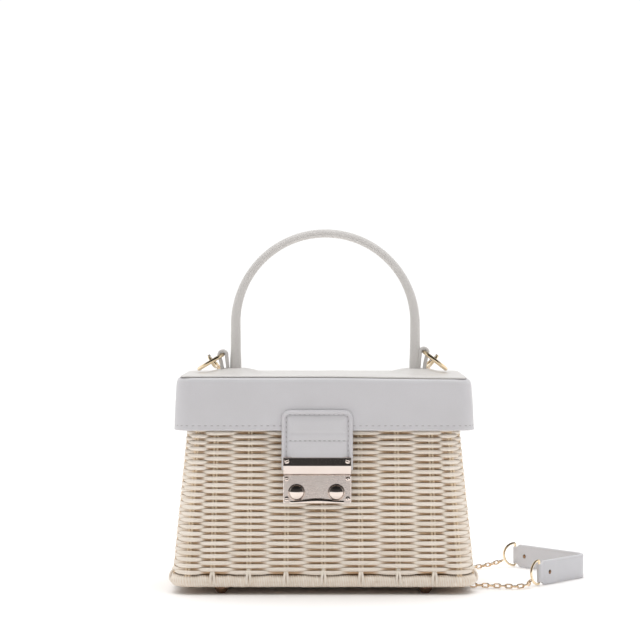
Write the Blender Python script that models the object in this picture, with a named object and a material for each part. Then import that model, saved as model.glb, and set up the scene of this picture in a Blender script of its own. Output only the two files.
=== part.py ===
"""Small woven box handbag with a leather lid, a press lock and a chain strap lying beside it.

Units are metres. +Z is up, +X is to the right of the lock and +Y runs towards the hinges.
The origin is on the floor under the middle of the basket.
"""

import math

import bmesh
import bpy
from mathutils import Vector

GAP = 0.0003  # air between two pieces that touch

# Basket: a box that narrows towards its rim.
SIDE_LEVEL = 0.018  # height at which the two half sizes below are measured
BASKET_HALF_WIDTH = 0.1104
BASKET_HALF_DEPTH = 0.062
WIDTH_TAPER = 0.098
DEPTH_TAPER = 0.085
WALL_BOTTOM = 0.0145
WALL_TOP = 0.1502
WALL_THICKNESS = 0.0044
WALL_CORNER = 0.016
BORDER_RADIUS = 0.0044
BORDER_HEIGHT = 0.0097
BOARD_BOTTOM = 0.0056
BOARD_THICKNESS = 0.006
LINING_THICKNESS = 0.0012
LINING_INSET = 0.0048  # from the outside of the wall to the outside of the lining
RIM_RADIUS = 0.0022

# Feet: turned studs.
FOOT_PLACES = {
    "front_left": (-0.074, -0.050),
    "front_right": (0.074, -0.050),
    "rear_left": (-0.074, 0.050),
    "rear_right": (0.074, 0.050),
}
FOOT_TOP_RADIUS = 0.00525
FOOT_TIP_RADIUS = 0.0022

# Lid: a skirt, a board and a padded top.
SKIRT_BOTTOM = 0.1185
SKIRT_TOP = 0.1566
SKIRT_HALF_WIDTH = (0.1085, 0.1066)  # at the bottom and at the top
SKIRT_HALF_DEPTH = (0.062, 0.0603)
SKIRT_THICKNESS = 0.0035
SKIRT_CORNER = 0.014
LID_BOARD_BOTTOM = 0.1552
LID_TOP = 0.1584
LID_TOP_HALF_WIDTH = 0.104
LID_TOP_HALF_DEPTH = 0.0578
MOUND_HEIGHT = 0.0055
MOUND_REACH = 0.040

# Handle: a rolled tube on two straight legs.
HANDLE_HALF_SPAN = 0.067
HANDLE_SPRING_HEIGHT = 0.1945  # where the legs turn into the arch
HANDLE_RADIUS = 0.0035
HANDLE_CORE_RADIUS = 0.002
HANDLE_FOOT = 0.1552

# Rings in the loops beside the handle; they lean down and outwards until they meet the lid.
RING_RADIUS = 0.01035
RING_WIRE = 0.00125
RING_PIVOT_X = 0.0752
RING_LEAN = {"left": math.radians(31), "right": math.radians(38)}
RING_LOW_POINT = LID_TOP + 0.0028  # wire centre at the ring's outer end
LOOP_WIDTH = 0.008
LOOP_BORE = 0.0023
LOOP_THICKNESS = 0.0016

# Snap hooks, measured along the hook from the ring's wire.
HOOK_BOW = 0.0036
HOOK_WIRE = 0.0012
HOOK_BARREL = (0.0165, 0.022)
HOOK_BARREL_RADIUS = 0.0023
EYE_REACH = 0.026
EYE_RADIUS = 0.0027
EYE_WIRE = 0.0008
EYE_HEIGHT = LID_TOP + EYE_RADIUS + EYE_WIRE + 0.0004

# Lock and clasp; both sit a little left of the middle.
CLASP_X = -0.0045
PLATE_HALF_WIDTH = 0.0245
PLATE_LOW = 0.0663
PLATE_HIGH = 0.0871
PLATE_FRONT = -0.064
PLATE_BACK = -0.0628
CASE_BACK = -0.0583
BUTTON_X = 0.0143
BUTTON_Z = 0.075
BUTTON_RADIUS = 0.00515
SCREW_X = 0.022
SCREW_RADIUS = 0.0014
SHANK_RADIUS = 0.0008
TAB_HALF_WIDTH = 0.02575
TAB_THICKNESS = 0.002
TAB_TOP = 0.1336
FLAP_AXIS_Z = 0.118
BAR_LOW = 0.0874
BAR_HIGH = 0.1001
BAR_FRONT = -0.067
PEG_Z = 0.092

# Butt hinges at the back.
HINGE_X = 0.055
HINGE_AXIS = (0.061, 0.1159)  # Y and Z
HINGE_HALF_LENGTH = 0.012
HINGE_MIDDLE_KNUCKLE = 0.004
KNUCKLE_RADIUS = 0.002
KNUCKLE_BORE = 0.00105
PIN_RADIUS = 0.0008
UPPER_LEAF_THICKNESS = 0.0013

# Strap: two chains and a leather band that stands on its edge on the floor.
CHAIN_RADIUS = 0.0018
CHAIN_POINT_SPACING = 0.0092
BAND_THICKNESS = 0.0022
BAND_HEIGHT = 0.018
STRAP_RING_SIZE = (0.0042, 0.0088)  # half length and half height of the oval
STRAP_RING_WIRE = 0.0009
STRAP_RING_HEIGHT = 0.0100
RIVET_FROM_END = 0.011

CHAIN_ROUTES = {
    "right": [
        (0.0787, 0.0392, 0.1619), (0.0797, 0.0465, 0.1609), (0.0808, 0.0560, 0.1613),
        (0.0816, 0.0630, 0.1592), (0.0821, 0.0666, 0.1525), (0.0824, 0.0670, 0.1400),
        (0.0828, 0.0668, 0.1150), (0.0832, 0.0664, 0.0850), (0.0836, 0.0664, 0.0550),
        (0.0840, 0.0668, 0.0280), (0.0848, 0.0678, 0.0120), (0.0885, 0.0694, 0.0045),
        (0.0955, 0.0694, 0.0023), (0.1025, 0.0650, 0.0021), (0.1040, 0.0550, 0.0021),
        (0.0995, 0.0430, 0.0021), (0.0935, 0.0300, 0.0021), (0.0835, 0.0190, 0.0021),
        (0.0680, 0.0135, 0.0021), (0.0510, 0.0110, 0.0021), (0.0400, 0.0030, 0.0021),
        (0.0400, -0.0100, 0.0021), (0.0510, -0.0175, 0.0021), (0.0680, -0.0195, 0.0021),
        (0.0860, -0.0205, 0.0021), (0.1000, -0.0215, 0.0021), (0.1115, -0.0222, 0.0021),
        (0.1225, -0.0245, 0.0021), (0.1335, -0.0280, 0.0021), (0.1438, -0.0302, 0.0022),
        (0.1508, -0.0260, 0.0033), (0.1532, -0.0185, 0.0052),
    ],
    "left": [
        (-0.0776, 0.0392, 0.1619), (-0.0786, 0.0465, 0.1609), (-0.0800, 0.0560, 0.1613),
        (-0.0812, 0.0630, 0.1592), (-0.0820, 0.0666, 0.1525), (-0.0825, 0.0670, 0.1400),
        (-0.0830, 0.0668, 0.1150), (-0.0834, 0.0664, 0.0850), (-0.0836, 0.0664, 0.0550),
        (-0.0834, 0.0668, 0.0280), (-0.0822, 0.0680, 0.0120), (-0.0780, 0.0698, 0.0045),
        (-0.0700, 0.0715, 0.0022), (-0.0540, 0.0738, 0.0021), (-0.0300, 0.0722, 0.0021),
        (0.0000, 0.0750, 0.0021), (0.0300, 0.0728, 0.0021), (0.0600, 0.0766, 0.0021),
        (0.0880, 0.0805, 0.0021), (0.1070, 0.0838, 0.0021), (0.1210, 0.0888, 0.0021),
        (0.1322, 0.0957, 0.0032), (0.1426, 0.1034, 0.0052),
    ],
}
BAND_ROUTE = [
    (0.1614, -0.0085), (0.1726, 0.0045), (0.1838, 0.0183), (0.1932, 0.0305), (0.1975, 0.0372),
    (0.1985, 0.0428), (0.1962, 0.0492), (0.1880, 0.0602), (0.1770, 0.0752), (0.1655, 0.0905),
    (0.1538, 0.1062),
]
STRAP_RING_DIRECTIONS = {"right": (-0.70, -0.714), "left": (-0.96, -0.28)}

CREAM_REED = (0.72, 0.64, 0.52)
GREY_LEATHER = (0.68, 0.66, 0.66)
PALE_LEATHER = (0.74, 0.71, 0.67)
TAN_CLOTH = (0.36, 0.22, 0.11)
GOLD = (0.83, 0.62, 0.40)
PALE_GOLD = (0.86, 0.74, 0.62)
BRONZE = (0.20, 0.11, 0.06)
STEEL = (0.55, 0.55, 0.57)
BOARD_GREY = (0.45, 0.40, 0.33)


def clear_scene():
    for thing in list(bpy.data.objects):
        bpy.data.objects.remove(thing, do_unlink=True)


def material_for(name, colour, roughness, metallic):
    material = bpy.data.materials.new(name)
    material.use_nodes = True
    shader = material.node_tree.nodes["Principled BSDF"]
    shader.inputs["Base Color"].default_value = (*colour, 1.0)
    shader.inputs["Roughness"].default_value = roughness
    shader.inputs["Metallic"].default_value = metallic
    return material


def finish_mesh(name, builder, look):
    """Turns a bmesh into a named object with its own material, faces pointing out."""
    bmesh.ops.recalc_face_normals(builder, faces=builder.faces[:])
    mesh = bpy.data.meshes.new(name)
    builder.to_mesh(mesh)
    builder.free()
    mesh.shade_smooth()
    mesh.set_sharp_from_angle(angle=math.radians(35))
    thing = bpy.data.objects.new(name, mesh)
    bpy.context.scene.collection.objects.link(thing)
    mesh.materials.append(material_for(name, *look))
    return thing


def loft(name, rings, look, cyclic=False):
    """A closed solid through equal rings of points: capped at both ends, or joined end to end."""
    builder = bmesh.new()
    rows = [[builder.verts.new(point) for point in ring] for ring in rings]
    pairs = list(zip(rows, rows[1:]))
    if cyclic:
        pairs.append((rows[-1], rows[0]))
    else:
        builder.faces.new(rows[0])
        builder.faces.new(list(reversed(rows[-1])))
    for low, high in pairs:
        for index in range(len(low)):
            after = (index + 1) % len(low)
            builder.faces.new((low[index], low[after], high[after], high[index]))
    return finish_mesh(name, builder, look)


def rounded_rectangle(half_x, half_y, radius, corner_steps=6, long_steps=1, short_steps=1):
    """Points anticlockwise round a rectangle with round corners."""
    points = []
    corners = [(1, 1, 0), (-1, 1, 90), (-1, -1, 180), (1, -1, 270)]
    for place, (side_x, side_y, start) in enumerate(corners):
        centre_x = side_x * (half_x - radius)
        centre_y = side_y * (half_y - radius)
        for step in range(corner_steps + 1):
            angle = math.radians(start + 90 * step / corner_steps)
            points.append((centre_x + radius * math.cos(angle), centre_y + radius * math.sin(angle)))
        next_x, next_y, _ = corners[(place + 1) % 4]
        along_x = next_x != side_x
        count = long_steps if along_x else short_steps
        end_x = next_x * (half_x - radius) if along_x else points[-1][0]
        end_y = points[-1][1] if along_x else next_y * (half_y - radius)
        start_x, start_y = points[-1]
        for step in range(1, count):
            share = step / count
            points.append((start_x + (end_x - start_x) * share, start_y + (end_y - start_y) * share))
    return points


def level_ring(half_x, half_y, radius, z, **steps):
    return [(x, y, z) for x, y in rounded_rectangle(half_x, half_y, radius, **steps)]


def circle(centre, first, second, radius, count=24):
    """Points of a circle in the plane of two unit vectors."""
    angles = [2 * math.pi * step / count for step in range(count)]
    return [centre + radius * (math.cos(a) * first + math.sin(a) * second) for a in angles]


def turned(name, profile, centre, axis, look, count=16):
    """A turned piece: profile lists (radius, distance along the axis) from one cap to the other."""
    axis = Vector(axis).normalized()
    first = axis.orthogonal().normalized()
    second = axis.cross(first)
    centre = Vector(centre)
    rings = [circle(centre + axis * height, first, second, radius, count) for radius, height in profile]
    return loft(name, rings, look)


def tube(name, path, normal, radius, look, sides=8, closed=False, bore=0.0):
    """A round bar along a flat path; normal is square to the path's plane."""
    path = [Vector(point) for point in path]
    normal = Vector(normal).normalized()
    outer = []
    inner = []
    for index, point in enumerate(path):
        before = path[index - 1] if closed or index else point
        after = path[(index + 1) % len(path)] if closed or index + 1 < len(path) else point
        side = (after - before).normalized().cross(normal)
        outer.append(circle(point, normal, side, radius, sides))
        inner.append(circle(point, normal, side, bore, sides))
    if bore:
        return loft(name, outer + inner[::-1], look, cyclic=True)
    return loft(name, outer, look, cyclic=closed)


def prism(name, outline, across, start, end, look):
    """Extrudes an outline of points by two lengths along the direction across."""
    across = Vector(across)
    outline = [Vector(point) for point in outline]
    return loft(name, [[p + across * start for p in outline], [p + across * end for p in outline]], look)


def block(name, low, high, look):
    outline = [(low[0], low[1], 0), (high[0], low[1], 0), (high[0], high[1], 0), (low[0], high[1], 0)]
    return prism(name, outline, (0, 0, 1), low[2], high[2], look)


def combine(target, tool, operation):
    """Cuts a tool out of the target, or joins it on, and puts the tool away."""
    tool.hide_render = True
    tool.display_type = "WIRE"
    modifier = target.modifiers.new(tool.name, "BOOLEAN")
    modifier.operation = operation
    modifier.solver = "EXACT"
    modifier.object = tool


def bore_hole(target, centre, axis, radius, start, end):
    count = 10 if radius < 0.002 else 16
    tool = turned(f"{target.name}_hole", [(radius, start), (radius, end)], centre, axis, LOOK_STEEL, count)
    combine(target, tool, "DIFFERENCE")


def smooth_route(points, spacing):
    """Evenly spaced points on a smooth curve through hand-chosen ones."""
    points = [Vector(point) for point in points]
    padded = [2 * points[0] - points[1], *points, 2 * points[-1] - points[-2]]
    fine = []
    for index in range(len(points) - 1):
        a, b, c, d = padded[index:index + 4]
        for step in range(20):
            t = step / 20
            fine.append(0.5 * (2 * b + (c - a) * t + (2 * a - 5 * b + 4 * c - d) * t * t
                               + (3 * b - a - 3 * c + d) * t ** 3))
    fine.append(points[-1])
    lengths = [0.0]
    for before, after in zip(fine, fine[1:]):
        lengths.append(lengths[-1] + (after - before).length)
    count = max(2, round(lengths[-1] / spacing))
    route = []
    place = 0
    for step in range(count + 1):
        target = lengths[-1] * step / count
        while place < len(fine) - 2 and lengths[place + 1] < target:
            place += 1
        share = (target - lengths[place]) / (lengths[place + 1] - lengths[place])
        route.append(fine[place].lerp(fine[place + 1], min(share, 1.0)))
    return route


def bevelled_curve(name, points, radius, look):
    curve = bpy.data.curves.new(name, "CURVE")
    curve.dimensions = "3D"
    curve.bevel_depth = radius
    curve.bevel_resolution = 2
    curve.use_fill_caps = True
    spline = curve.splines.new("POLY")
    spline.points.add(len(points) - 1)
    for slot, point in zip(spline.points, points):
        slot.co = (*point, 1.0)
    curve.materials.append(material_for(name, *look))
    thing = bpy.data.objects.new(name, curve)
    bpy.context.scene.collection.objects.link(thing)
    return thing


LOOK_REED = (CREAM_REED, 0.5, 0.0)
LOOK_LEATHER = (GREY_LEATHER, 0.4, 0.0)
LOOK_PALE_LEATHER = (PALE_LEATHER, 0.45, 0.0)
LOOK_CLOTH = (TAN_CLOTH, 0.9, 0.0)
LOOK_GOLD = (GOLD, 0.2, 1.0)
LOOK_PALE_GOLD = (PALE_GOLD, 0.15, 1.0)
LOOK_BRONZE = (BRONZE, 0.3, 1.0)
LOOK_STEEL = (STEEL, 0.35, 1.0)
LOOK_BOARD = (BOARD_GREY, 0.8, 0.0)


def wall_half_sizes(z):
    """Outside of the woven wall at a height."""
    rise = z - SIDE_LEVEL
    return BASKET_HALF_WIDTH - WIDTH_TAPER * rise, BASKET_HALF_DEPTH - DEPTH_TAPER * rise


def wall_ring(z, inset):
    half_x, half_y = wall_half_sizes(z)
    return level_ring(half_x - inset, half_y - inset, WALL_CORNER - inset, z)


def skirt_half_sizes(z):
    """Outside of the lid's skirt at a height."""
    share = (z - SKIRT_BOTTOM) / (SKIRT_TOP - SKIRT_BOTTOM)
    half_x = SKIRT_HALF_WIDTH[0] + (SKIRT_HALF_WIDTH[1] - SKIRT_HALF_WIDTH[0]) * share
    half_y = SKIRT_HALF_DEPTH[0] + (SKIRT_HALF_DEPTH[1] - SKIRT_HALF_DEPTH[0]) * share
    return half_x, half_y


def mound(x, y):
    """How far the padded lid top swells up round the nearer handle foot."""
    distance = math.hypot(abs(x) - HANDLE_HALF_SPAN, y)
    return MOUND_HEIGHT * (0.5 + 0.5 * math.cos(math.pi * min(distance / MOUND_REACH, 1.0)))


def make_basket():
    wall = [
        wall_ring(WALL_BOTTOM, 0.0),
        wall_ring(WALL_TOP, 0.0),
        wall_ring(WALL_TOP, WALL_THICKNESS),
        wall_ring(WALL_BOTTOM, WALL_THICKNESS),
    ]
    loft("wicker_body", wall, LOOK_REED, cyclic=True)
    make_hoop("base_border", BORDER_HEIGHT, BORDER_RADIUS)
    make_hoop("rim_hoop", WALL_TOP + GAP + RIM_RADIUS, RIM_RADIUS)

    floor_x, floor_y = wall_half_sizes(BORDER_HEIGHT)
    inset = 2 * BORDER_RADIUS + GAP
    board = (floor_x - inset, floor_y - inset, WALL_CORNER - inset)
    board_top = BOARD_BOTTOM + BOARD_THICKNESS
    loft("base_board", [level_ring(*board, BOARD_BOTTOM), level_ring(*board, board_top)], LOOK_BOARD)

    lining_bottom = board_top + GAP
    side_bottom = lining_bottom + 0.004
    inner = LINING_INSET + LINING_THICKNESS
    inner_edge = [size - LINING_THICKNESS for size in board]
    lining = [
        level_ring(*board, lining_bottom),
        wall_ring(side_bottom, LINING_INSET),
        wall_ring(WALL_TOP, LINING_INSET),
        wall_ring(WALL_TOP, inner),
        wall_ring(side_bottom, inner),
        level_ring(*inner_edge, lining_bottom + LINING_THICKNESS),
    ]
    loft("lining", lining, LOOK_CLOTH)


def make_hoop(name, height, radius):
    """A round rod bent round the basket, flush with the outside of the wall."""
    half_x, half_y = wall_half_sizes(height)
    rings = []
    for step in range(10):
        angle = 2 * math.pi * step / 10
        inset = radius - radius * math.cos(angle)
        z = height + radius * math.sin(angle)
        rings.append(level_ring(half_x - inset, half_y - inset, WALL_CORNER - inset, z))
    loft(name, rings, LOOK_REED, cyclic=True)


def make_feet():
    top = BOARD_BOTTOM - GAP
    profile = [
        (FOOT_TIP_RADIUS - 0.0005, 0.0),
        (FOOT_TIP_RADIUS, 0.0004),
        (FOOT_TOP_RADIUS - 0.0006, top - 0.0012),
        (FOOT_TOP_RADIUS, top - 0.0007),
        (FOOT_TOP_RADIUS, top),
    ]
    for place, (x, y) in FOOT_PLACES.items():
        turned(f"foot_{place}", profile, (x, y, 0), (0, 0, 1), LOOK_BRONZE)


def make_lid():
    skirt = []
    for z, inset in ((SKIRT_BOTTOM, 0.0), (SKIRT_TOP, 0.0),
                     (SKIRT_TOP, SKIRT_THICKNESS), (SKIRT_BOTTOM, SKIRT_THICKNESS)):
        half_x, half_y = skirt_half_sizes(z)
        skirt.append(level_ring(half_x - inset, half_y - inset, SKIRT_CORNER - inset, z))
    loft("lid_skirt", skirt, LOOK_LEATHER, cyclic=True)

    inset = SKIRT_THICKNESS + 0.0005
    board = (SKIRT_HALF_WIDTH[1] - inset, SKIRT_HALF_DEPTH[1] - inset, SKIRT_CORNER - inset)
    board_rings = [level_ring(*board, LID_BOARD_BOTTOM), level_ring(*board, SKIRT_TOP)]
    lid_board = loft("lid_top_board", board_rings, LOOK_BOARD)

    fine = {"corner_steps": 3, "long_steps": 12, "short_steps": 5}
    top_size = (LID_TOP_HALF_WIDTH, LID_TOP_HALF_DEPTH, 0.011)
    cover = [
        level_ring(*top_size, SKIRT_TOP + GAP, **fine),
        level_ring(*top_size, LID_TOP - 0.0007, **fine),
    ]
    outline = rounded_rectangle(*top_size, **fine)
    for step in range(10):
        share = 0.993 - 0.1 * step
        cover.append([(x * share, y * share, LID_TOP + mound(x * share, y * share)) for x, y in outline])
    lid_cover = loft("lid_top_cover", cover, LOOK_LEATHER)
    for side in (-1, 1):
        foot = (side * HANDLE_HALF_SPAN, 0, 0)
        bore_hole(lid_cover, foot, (0, 0, 1), HANDLE_RADIUS + 0.0004, SKIRT_TOP - 0.001, 0.17)
        bore_hole(lid_board, foot, (0, 0, 1), HANDLE_RADIUS + 0.0004, 0.15, SKIRT_TOP + 0.001)

    loft("lid_liner", [level_ring(0.088, 0.041, 0.008, 0.1534), level_ring(0.088, 0.041, 0.008, 0.1539)],
         LOOK_CLOTH)


def make_handle():
    span = HANDLE_HALF_SPAN
    path = [(-span, 0, HANDLE_FOOT), (-span, 0, 0.168), (-span, 0, 0.182)]
    for step in range(19):
        angle = math.pi - math.pi * step / 18
        path.append((span * math.cos(angle), 0, HANDLE_SPRING_HEIGHT + span * math.sin(angle)))
    path += [(span, 0, 0.182), (span, 0, 0.168), (span, 0, HANDLE_FOOT)]
    across = (0, 1, 0)
    tube("handle_cover", path, across, HANDLE_RADIUS, LOOK_PALE_LEATHER, bore=HANDLE_CORE_RADIUS + GAP)
    tube("handle_core", path, across, HANDLE_CORE_RADIUS, LOOK_BOARD, sides=6)
    for side, sign in (("left", -1), ("right", 1)):
        plate = [(0.009, 0.1542), (0.009, HANDLE_FOOT - GAP)]
        turned(f"handle_plate_{side}", plate, (sign * span, 0, 0), (0, 0, 1), LOOK_STEEL)


def ring_frame(side):
    """Pivot of a ring, and the directions out along it and square to its plane."""
    sign = -1 if side == "left" else 1
    lean = RING_LEAN[side]
    outward = Vector((sign * math.cos(lean), 0, -math.sin(lean)))
    upward = Vector((sign * math.sin(lean), 0, math.cos(lean)))
    height = RING_LOW_POINT + 2 * RING_RADIUS * math.sin(lean)
    return Vector((sign * RING_PIVOT_X, 0, height)), outward, upward


def make_ring_and_loop(side):
    pivot, outward, upward = ring_frame(side)
    along = Vector((0, 1, 0))
    path = circle(pivot + outward * RING_RADIUS, outward, along, RING_RADIUS, 28)
    tube(f"ring_{side}", path, upward, RING_WIRE, LOOK_GOLD, sides=8, closed=True)

    outer = LOOP_BORE + LOOP_THICKNESS
    foot_height = LID_TOP + mound(pivot.x, 0) + GAP
    low = (pivot.x - LOOP_THICKNESS, -LOOP_WIDTH / 2, foot_height)
    high = (pivot.x + LOOP_THICKNESS, LOOP_WIDTH / 2, pivot.z - LOOP_BORE - LOOP_THICKNESS / 2)
    loop = block(f"ring_loop_{side}", low, high, LOOK_PALE_LEATHER)
    eye_rings = []
    for radius, y in ((outer, -1), (outer, 1), (LOOP_BORE, 1), (LOOP_BORE, -1)):
        eye_centre = pivot + along * (y * LOOP_WIDTH / 2)
        eye_rings.append(circle(eye_centre, Vector((1, 0, 0)), Vector((0, 0, 1)), radius, 24))
    combine(loop, loft(f"ring_loop_{side}_eye", eye_rings, LOOK_PALE_LEATHER, cyclic=True), "UNION")


def make_hook(side):
    """Snap hook hung on the back of the ring, drooping until its swivel eye meets the lid."""
    pivot, outward, upward = ring_frame(side)
    origin = pivot + outward * RING_RADIUS + Vector((0, RING_RADIUS, 0))
    droop = math.asin((origin.z - EYE_HEIGHT) / (EYE_REACH * upward.z))
    back = Vector((0, 1, 0))
    along = back * math.cos(droop) - upward * math.sin(droop)
    up = upward * math.cos(droop) + back * math.sin(droop)
    across = along.cross(up)

    def at(length, height):
        return origin + along * length + up * height

    path = [at(HOOK_BOW, HOOK_BOW)]
    for step in range(9):
        angle = math.pi / 2 + math.pi * step / 8
        path.append(at(HOOK_BOW * math.cos(angle), HOOK_BOW * math.sin(angle)))
    path += [at(0.005, -HOOK_BOW), at(0.009, -HOOK_BOW), at(0.0125, -0.0027), at(0.015, -0.0009)]
    path.append(at(HOOK_BARREL[0] + 0.0008, 0))
    hook = tube(f"hook_{side}", path, across, HOOK_WIRE, LOOK_GOLD)

    barrel = [
        (HOOK_BARREL_RADIUS - 0.0006, HOOK_BARREL[0]),
        (HOOK_BARREL_RADIUS, HOOK_BARREL[0] + 0.0006),
        (HOOK_BARREL_RADIUS, HOOK_BARREL[1]),
        (EYE_WIRE + GAP, HOOK_BARREL[1]),
        (EYE_WIRE + GAP, HOOK_BARREL[0] + 0.0015),
    ]
    combine(hook, turned(f"hook_{side}_barrel", barrel, origin, along, LOOK_GOLD), "UNION")
    cheek = [at(0.0128, 0.0002), at(0.0172, -0.0012), at(0.0172, 0.0012), at(0.0152, 0.0035),
             at(0.0134, 0.0035)]
    for place, sign in (("near", -1), ("far", 1)):
        start, end = sorted((sign * 0.00125, sign * 0.0019))
        plate = prism(f"hook_{side}_cheek_{place}", cheek, across, start, end, LOOK_GOLD)
        combine(hook, plate, "UNION")

    gate = [at(0.0043, 0.0029), at(0.0148, 0.0015), at(0.0153, 0.0023), at(0.0147, 0.0031),
            at(0.0098, 0.0041), at(0.0084, 0.0066), at(0.0070, 0.0068), at(0.0067, 0.0044),
            at(0.0043, 0.0044)]
    prism(f"gate_{side}", gate, across, -0.0009, 0.0009, LOOK_BRONZE)

    eye_path = circle(at(EYE_REACH, 0), along, up, EYE_RADIUS, 16)
    eye = tube(f"hook_eye_{side}", eye_path, across, EYE_WIRE, LOOK_GOLD, sides=6, closed=True)
    stem = [(EYE_WIRE, HOOK_BARREL[0] + 0.0018), (EYE_WIRE, EYE_REACH - EYE_RADIUS)]
    combine(eye, turned(f"hook_eye_{side}_stem", stem, origin, along, LOOK_GOLD, 12), "UNION")


def make_hinge(side):
    sign = -1 if side == "left" else 1
    middle = sign * HINGE_X
    axis_y, axis_z = HINGE_AXIS
    centre = (middle, axis_y, axis_z)
    half = HINGE_HALF_LENGTH
    split = HINGE_MIDDLE_KNUCKLE
    along = (1, 0, 0)

    wall_y = wall_half_sizes(0.1146)[1]
    foot_y = wall_half_sizes(0.098)[1]
    lower_outline = [
        (middle, axis_y - 0.001, axis_z - 0.0013),
        (middle, axis_y - 0.001, axis_z - 0.0003),
        (middle, wall_y + 0.0005, axis_z - 0.0003),
        (middle, foot_y + 0.0005, 0.098),
        (middle, foot_y + 0.0014, 0.098),
        (middle, wall_y + 0.0015, axis_z - 0.0015),
    ]
    lower = prism(f"hinge_lower_{side}", lower_outline, along, -half, half, LOOK_PALE_GOLD)
    for start, end in ((-half - 0.001, -split), (split, half + 0.001)):
        low = (middle + start, wall_y + 0.0032, axis_z - 0.003)
        high = (middle + end, axis_y + 0.003, axis_z + 0.003)
        name = f"hinge_lower_{side}_relief_{'left' if start < 0 else 'right'}"
        combine(lower, block(name, low, high, LOOK_STEEL), "DIFFERENCE")
    knuckle = [(KNUCKLE_RADIUS, -split + GAP), (KNUCKLE_RADIUS, split - GAP)]
    combine(lower, turned(f"hinge_lower_{side}_knuckle", knuckle, centre, along, LOOK_PALE_GOLD), "UNION")
    bore_hole(lower, centre, along, KNUCKLE_BORE, -half, half)

    leaf_y = SKIRT_HALF_DEPTH[0] + GAP
    low = (middle - half, leaf_y, axis_z)
    high = (middle + half, leaf_y + UPPER_LEAF_THICKNESS, 0.131)
    upper = block(f"hinge_upper_{side}", low, high, LOOK_PALE_GOLD)
    low = (middle - split, leaf_y - 0.001, axis_z - 0.003)
    high = (middle + split, leaf_y + 0.002, axis_z + 0.0024)
    combine(upper, block(f"hinge_upper_{side}_relief", low, high, LOOK_STEEL), "DIFFERENCE")
    for place, start, end in (("a", -half, -split), ("b", split, half)):
        knuckle = [(KNUCKLE_RADIUS, start), (KNUCKLE_RADIUS, end)]
        tool = turned(f"hinge_upper_{side}_knuckle_{place}", knuckle, centre, along, LOOK_PALE_GOLD)
        combine(upper, tool, "UNION")
    bore_hole(upper, centre, along, KNUCKLE_BORE, -half - 0.001, half + 0.001)
    turned(f"hinge_pin_{side}", [(PIN_RADIUS, -half), (PIN_RADIUS, half)], centre, along, LOOK_STEEL, 12)


def make_screw(name, x, z, head_front, head_back, tip):
    """A flat-headed screw that points to the back; distances are its Y places."""
    profile = [
        (SCREW_RADIUS - 0.0004, head_front),
        (SCREW_RADIUS, head_front + 0.0003),
        (SCREW_RADIUS, head_back),
        (SHANK_RADIUS, head_back),
        (SHANK_RADIUS, tip),
    ]
    turned(name, profile, (CLASP_X + x, 0, z), (0, 1, 0), LOOK_PALE_GOLD, 10)


def make_lock():
    outline = [(CLASP_X + x, 0, (PLATE_LOW + PLATE_HIGH) / 2 + z)
               for x, z in rounded_rectangle(PLATE_HALF_WIDTH, (PLATE_HIGH - PLATE_LOW) / 2, 0.0012, 3)]
    forward = (0, 1, 0)
    plate = prism("lock_plate", outline, forward, PLATE_FRONT, PLATE_BACK, LOOK_PALE_GOLD)
    receiver_front = -0.0614
    case_front = PLATE_BACK + GAP
    side = [
        (CLASP_X, case_front, 0.0668), (CLASP_X, case_front, 0.0868),
        (CLASP_X, receiver_front, 0.0868), (CLASP_X, receiver_front, 0.097),
        (CLASP_X, CASE_BACK, 0.097), (CLASP_X, CASE_BACK, 0.0668),
    ]
    case = prism("lock_case", side, (1, 0, 0), -0.023, 0.023, LOOK_STEEL)
    for place, sign in (("left", -1), ("right", 1)):
        x = CLASP_X + sign * BUTTON_X
        bore_hole(plate, (x, 0, BUTTON_Z), forward, BUTTON_RADIUS + 0.0004, -0.066, -0.061)
        bore_hole(case, (x, 0, BUTTON_Z), forward, 0.0061, -0.065, -0.0593)
        slot = block(f"lock_case_slot_{place}", (x - 0.0018, -0.063, 0.0898), (x + 0.0018, -0.0591, 0.099),
                     LOOK_STEEL)
        combine(case, slot, "DIFFERENCE")
        profile = [(0.0057, -0.0619), (0.0057, case_front), (BUTTON_RADIUS, case_front),
                   (BUTTON_RADIUS, -0.0641)]
        for step in range(1, 5):
            angle = math.pi / 2 * step / 5
            profile.append((BUTTON_RADIUS * math.cos(angle), -0.0641 - 0.0027 * math.sin(angle)))
        turned(f"button_{place}", profile, (x, 0, BUTTON_Z), forward, LOOK_PALE_GOLD)
        coil = []
        for step in range(21):
            angle = 4 * math.pi * step / 20
            y = -0.0613 + 0.0014 * step / 20
            coil.append((x + 0.0042 * math.cos(angle), y, BUTTON_Z + 0.0042 * math.sin(angle)))
        bevelled_curve(f"button_spring_{place}", coil, 0.00028, LOOK_STEEL)
        for level, z in (("low", 0.0697), ("high", 0.084)):
            screw_x = CLASP_X + sign * SCREW_X
            bore_hole(plate, (screw_x, 0, z), forward, SHANK_RADIUS + GAP, -0.066, -0.061)
            bore_hole(case, (screw_x, 0, z), forward, SHANK_RADIUS + GAP, -0.065, -0.0593)
            make_screw(f"lock_screw_{level}_{place}", sign * SCREW_X, z, -0.0651, -0.0643, -0.0597)
    block("lock_back_plate", (CLASP_X - 0.023, -0.0498, 0.067), (CLASP_X + 0.023, -0.0488, 0.087), LOOK_STEEL)


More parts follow.
